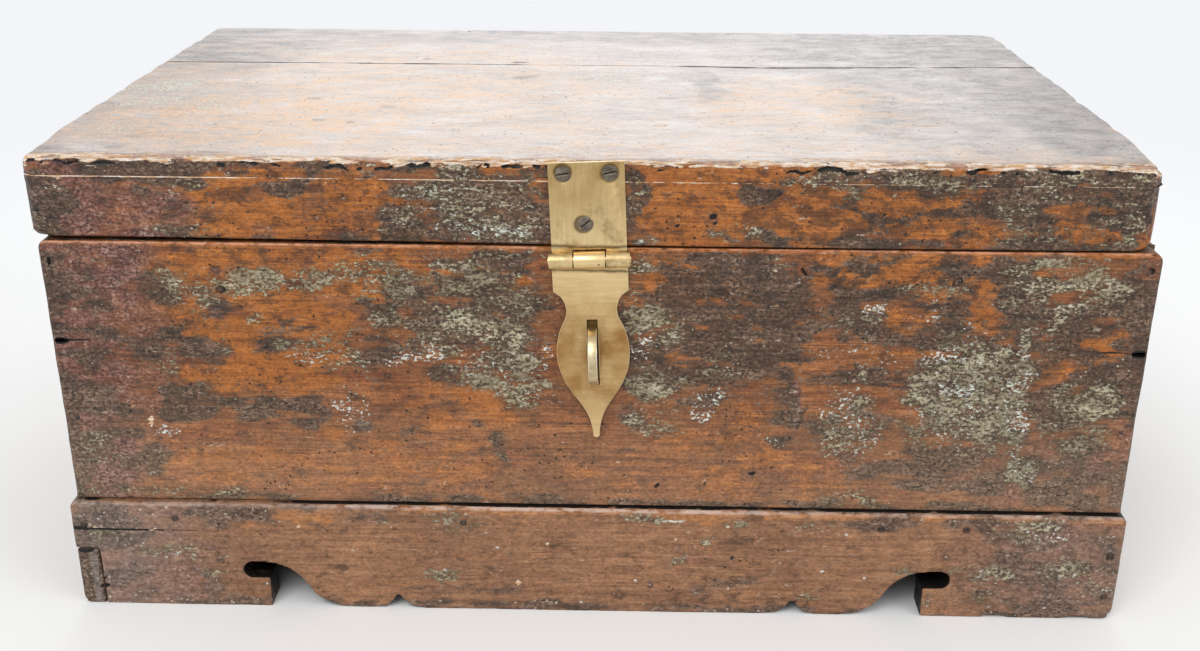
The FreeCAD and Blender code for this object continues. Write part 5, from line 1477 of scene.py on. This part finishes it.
# node, body, slot, materials of the face and of the rounded strip (a painted highlight), width of the strip
eased = {
    "haspStrap": ("hasp_strap", "lid", "aged_brass", (strapBrass, rimBrass), 0.3),
    "haspLeaf": ("hasp_leaf", "hasp", "aged_brass", (leafBrass, rimBrass), 0.55),
    "haspStaple": ("staple", "case", "aged_brass", (stapleBrass, stapleRim), 0.4),
    "strapScrews": ("strap_screws", "lid", "dark_steel", (darkSteel, brightSteel), 0.18),
}


def easedMetal(name, node, body, slot, materials, width):
    # the same solid with its sharp edges rounded off, and the rounded strip takes the paler material: a
    # painted highlight
    work = weldedCopy(node)
    bmesh.ops.dissolve_limit(work, angle_limit=math.radians(1.5), verts=work.verts, edges=work.edges)
    sharp = [e for e in work.edges if len(e.link_faces) == 2 and e.calc_face_angle(0) > metalCrease]
    made = bmesh.ops.bevel(work, geom=sharp, offset=width / 1000, segments=2, profile=0.5,
                           affect="EDGES", clamp_overlap=True)
    for face in work.faces:
        face.smooth = True
    for face in made["faces"]:
        face.material_index = 1
    piece = linkWork(name, work)
    piece.data.set_sharp_from_angle(angle=metalCrease)
    dress(piece, node, body, slot, *materials)


for name, spec in eased.items():
    easedMetal(name, *spec)
assign(leafBrass, "hasp_pin")
# the staple's plate behind the leaf takes the painted-shade brass
assign(grimyBrass, "staple_plate")
assign(forgedIron, "case_corner_nails", "floor_nails", "plinth_nails", "lid_nails",
       "hinge_left_lower_leaf", "hinge_right_lower_leaf", "hinge_left_upper_leaf", "hinge_right_upper_leaf",
       "hinge_left_pin", "hinge_right_pin", "hinge_screws_case", "hinge_screws_lid")


# plugs in the upper front board: radius and rise of each ring, from the middle out
pegLook = {
    "rings": [(0, 0.1), (1.0, 0.08), (1.35, 0.0), (1.55, -0.45), (1.75, -0.45), (1.95, 0.05), (2.15, 0.0),
              (2.25, -0.5), (2.1, -6)],
    "radius": 2.3,
    "segments": 40,
}


def addPegs(look):
    low, high = boxOf("front_pegs")
    inset, count, rings = look["radius"], look["segments"], look["rings"]
    points, faces = [], []
    for cx, cz in ((low[0] + inset, low[2] + inset), (high[0] - inset, high[2] - inset)):
        start = len(points)
        for radius, rise in rings:
            for n in range(count):
                a = 2 * math.pi * n / count
                r = radius * (0.97 + 0.03 * math.sin(3 * a + cx))
                points.append((cx + r * math.cos(a), frontFace - rise, cz + r * math.sin(a)))
        for row in range(len(rings) - 1):
            for n in range(count):
                a, b = start + row * count + n, start + row * count + (n + 1) % count
                faces.append((a, b, b + count, a + count))
        faces.append(tuple(start + (len(rings) - 1) * count + n for n in range(count)))
    piece = linkMesh("frontPegs", points, faces)
    work = bmesh.new()
    work.from_mesh(piece.data)
    bmesh.ops.remove_doubles(work, verts=work.verts, dist=weldWithin)
    bmesh.ops.recalc_face_normals(work, faces=work.faces)
    work.to_mesh(piece.data)
    work.free()
    setMarks(piece, plainMarks(meshPoints(piece)[0], 47, dark=0.9, paint=0.1, bright=0.0))
    dress(piece, "front_pegs", "case", "case_wood", caseWood)


addPegs(pegLook)
print("metal and plugs made")


# floor, backdrop and light
backdrop = (0.9, 0.915, 0.94, 1)
floorLook = {"colour": (0.985, 0.985, 0.975, 1), "left": -4000, "right": 4000, "near": -3000, "far": 4000}


def seenRays(tree):
    path = put(tree, "LightPath")
    return path, calc(tree, "MAXIMUM", path.outputs["Is Camera Ray"], path.outputs["Is Glossy Ray"])


def addFloor(look):
    material, tree, shader = newMaterial("paleFloor")
    shader.inputs["Base Color"].default_value = look["colour"]
    shader.inputs["Roughness"].default_value = 0.8
    shader.inputs["Specular IOR Level"].default_value = 0.2
    place = put(tree, "TexCoord").outputs["Object"]
    away = put(tree, "VectorMath", {0: place}, operation="LENGTH").outputs["Value"]
    path, seen = seenRays(tree)
    far = calc(tree, "MULTIPLY", remap(tree, away, 0.4, 1.3, smooth=True), seen)
    glow = put(tree, "Emission", {"Color": backdrop, "Strength": 1.0})
    both = put(tree, "MixShader", {0: far, 1: shader.outputs[0], 2: glow.outputs[0]})
    tree.links.new(both.outputs[0], tree.nodes["Material Output"].inputs["Surface"])
    left, right, near, back = look["left"], look["right"], look["near"], look["far"]
    floor = linkMesh("floor", [(left, near, 0), (right, near, 0), (right, back, 0), (left, back, 0)],
                     [(0, 1, 2, 3)], smooth=False)
    floor.data.materials.append(material)


def addWorld(strength):
    world = bpy.data.worlds.new("studio")
    bpy.context.scene.world = world
    world.use_nodes = True
    tree = world.node_tree
    tree.nodes.clear()
    path, seen = seenRays(tree)
    seen = calc(tree, "MAXIMUM", seen, path.outputs["Is Transmission Ray"])
    lit = put(tree, "Background", {"Color": (0.97, 0.985, 1, 1), "Strength": strength})
    plain = put(tree, "Background", {"Color": backdrop, "Strength": 1.0})
    both = put(tree, "MixShader", {0: seen, 1: lit.outputs[0], 2: plain.outputs[0]})
    put(tree, "OutputWorld", {0: both.outputs[0]})


lamps = {
    "keyLamp": {"place": (-700, -1700, 1900), "aim": (0, 0, 150), "size": (1500, 1200), "power": 24.0},
    "fillLamp": {"place": (1500, -1200, 1300), "aim": (0, 0, 150), "size": (1300, 1200), "power": 9.0},
    "sheenLamp": {"place": (0, 1350, 820), "aim": (0, 0, 276), "size": (1300, 560), "power": 7.5},
}


def addLamps():
    for name, spec in lamps.items():
        data = bpy.data.lights.new(name, "AREA")
        data.shape = "RECTANGLE"
        data.size, data.size_y = (v / 1000 for v in spec["size"])
        data.energy = spec["power"]
        lamp = bpy.data.objects.new(name, data)
        bpy.context.scene.collection.objects.link(lamp)
        place, aim = Vector(spec["place"]) / 1000, Vector(spec["aim"]) / 1000
        lamp.location = place
        lamp.rotation_euler = (aim - place).to_track_quat("-Z", "Y").to_euler()
        lamp.visible_camera = False


addFloor(floorLook)
addWorld(0.62)
addLamps()
bpy.context.scene.view_settings.view_transform = "Standard"
print("floor and lamps set")
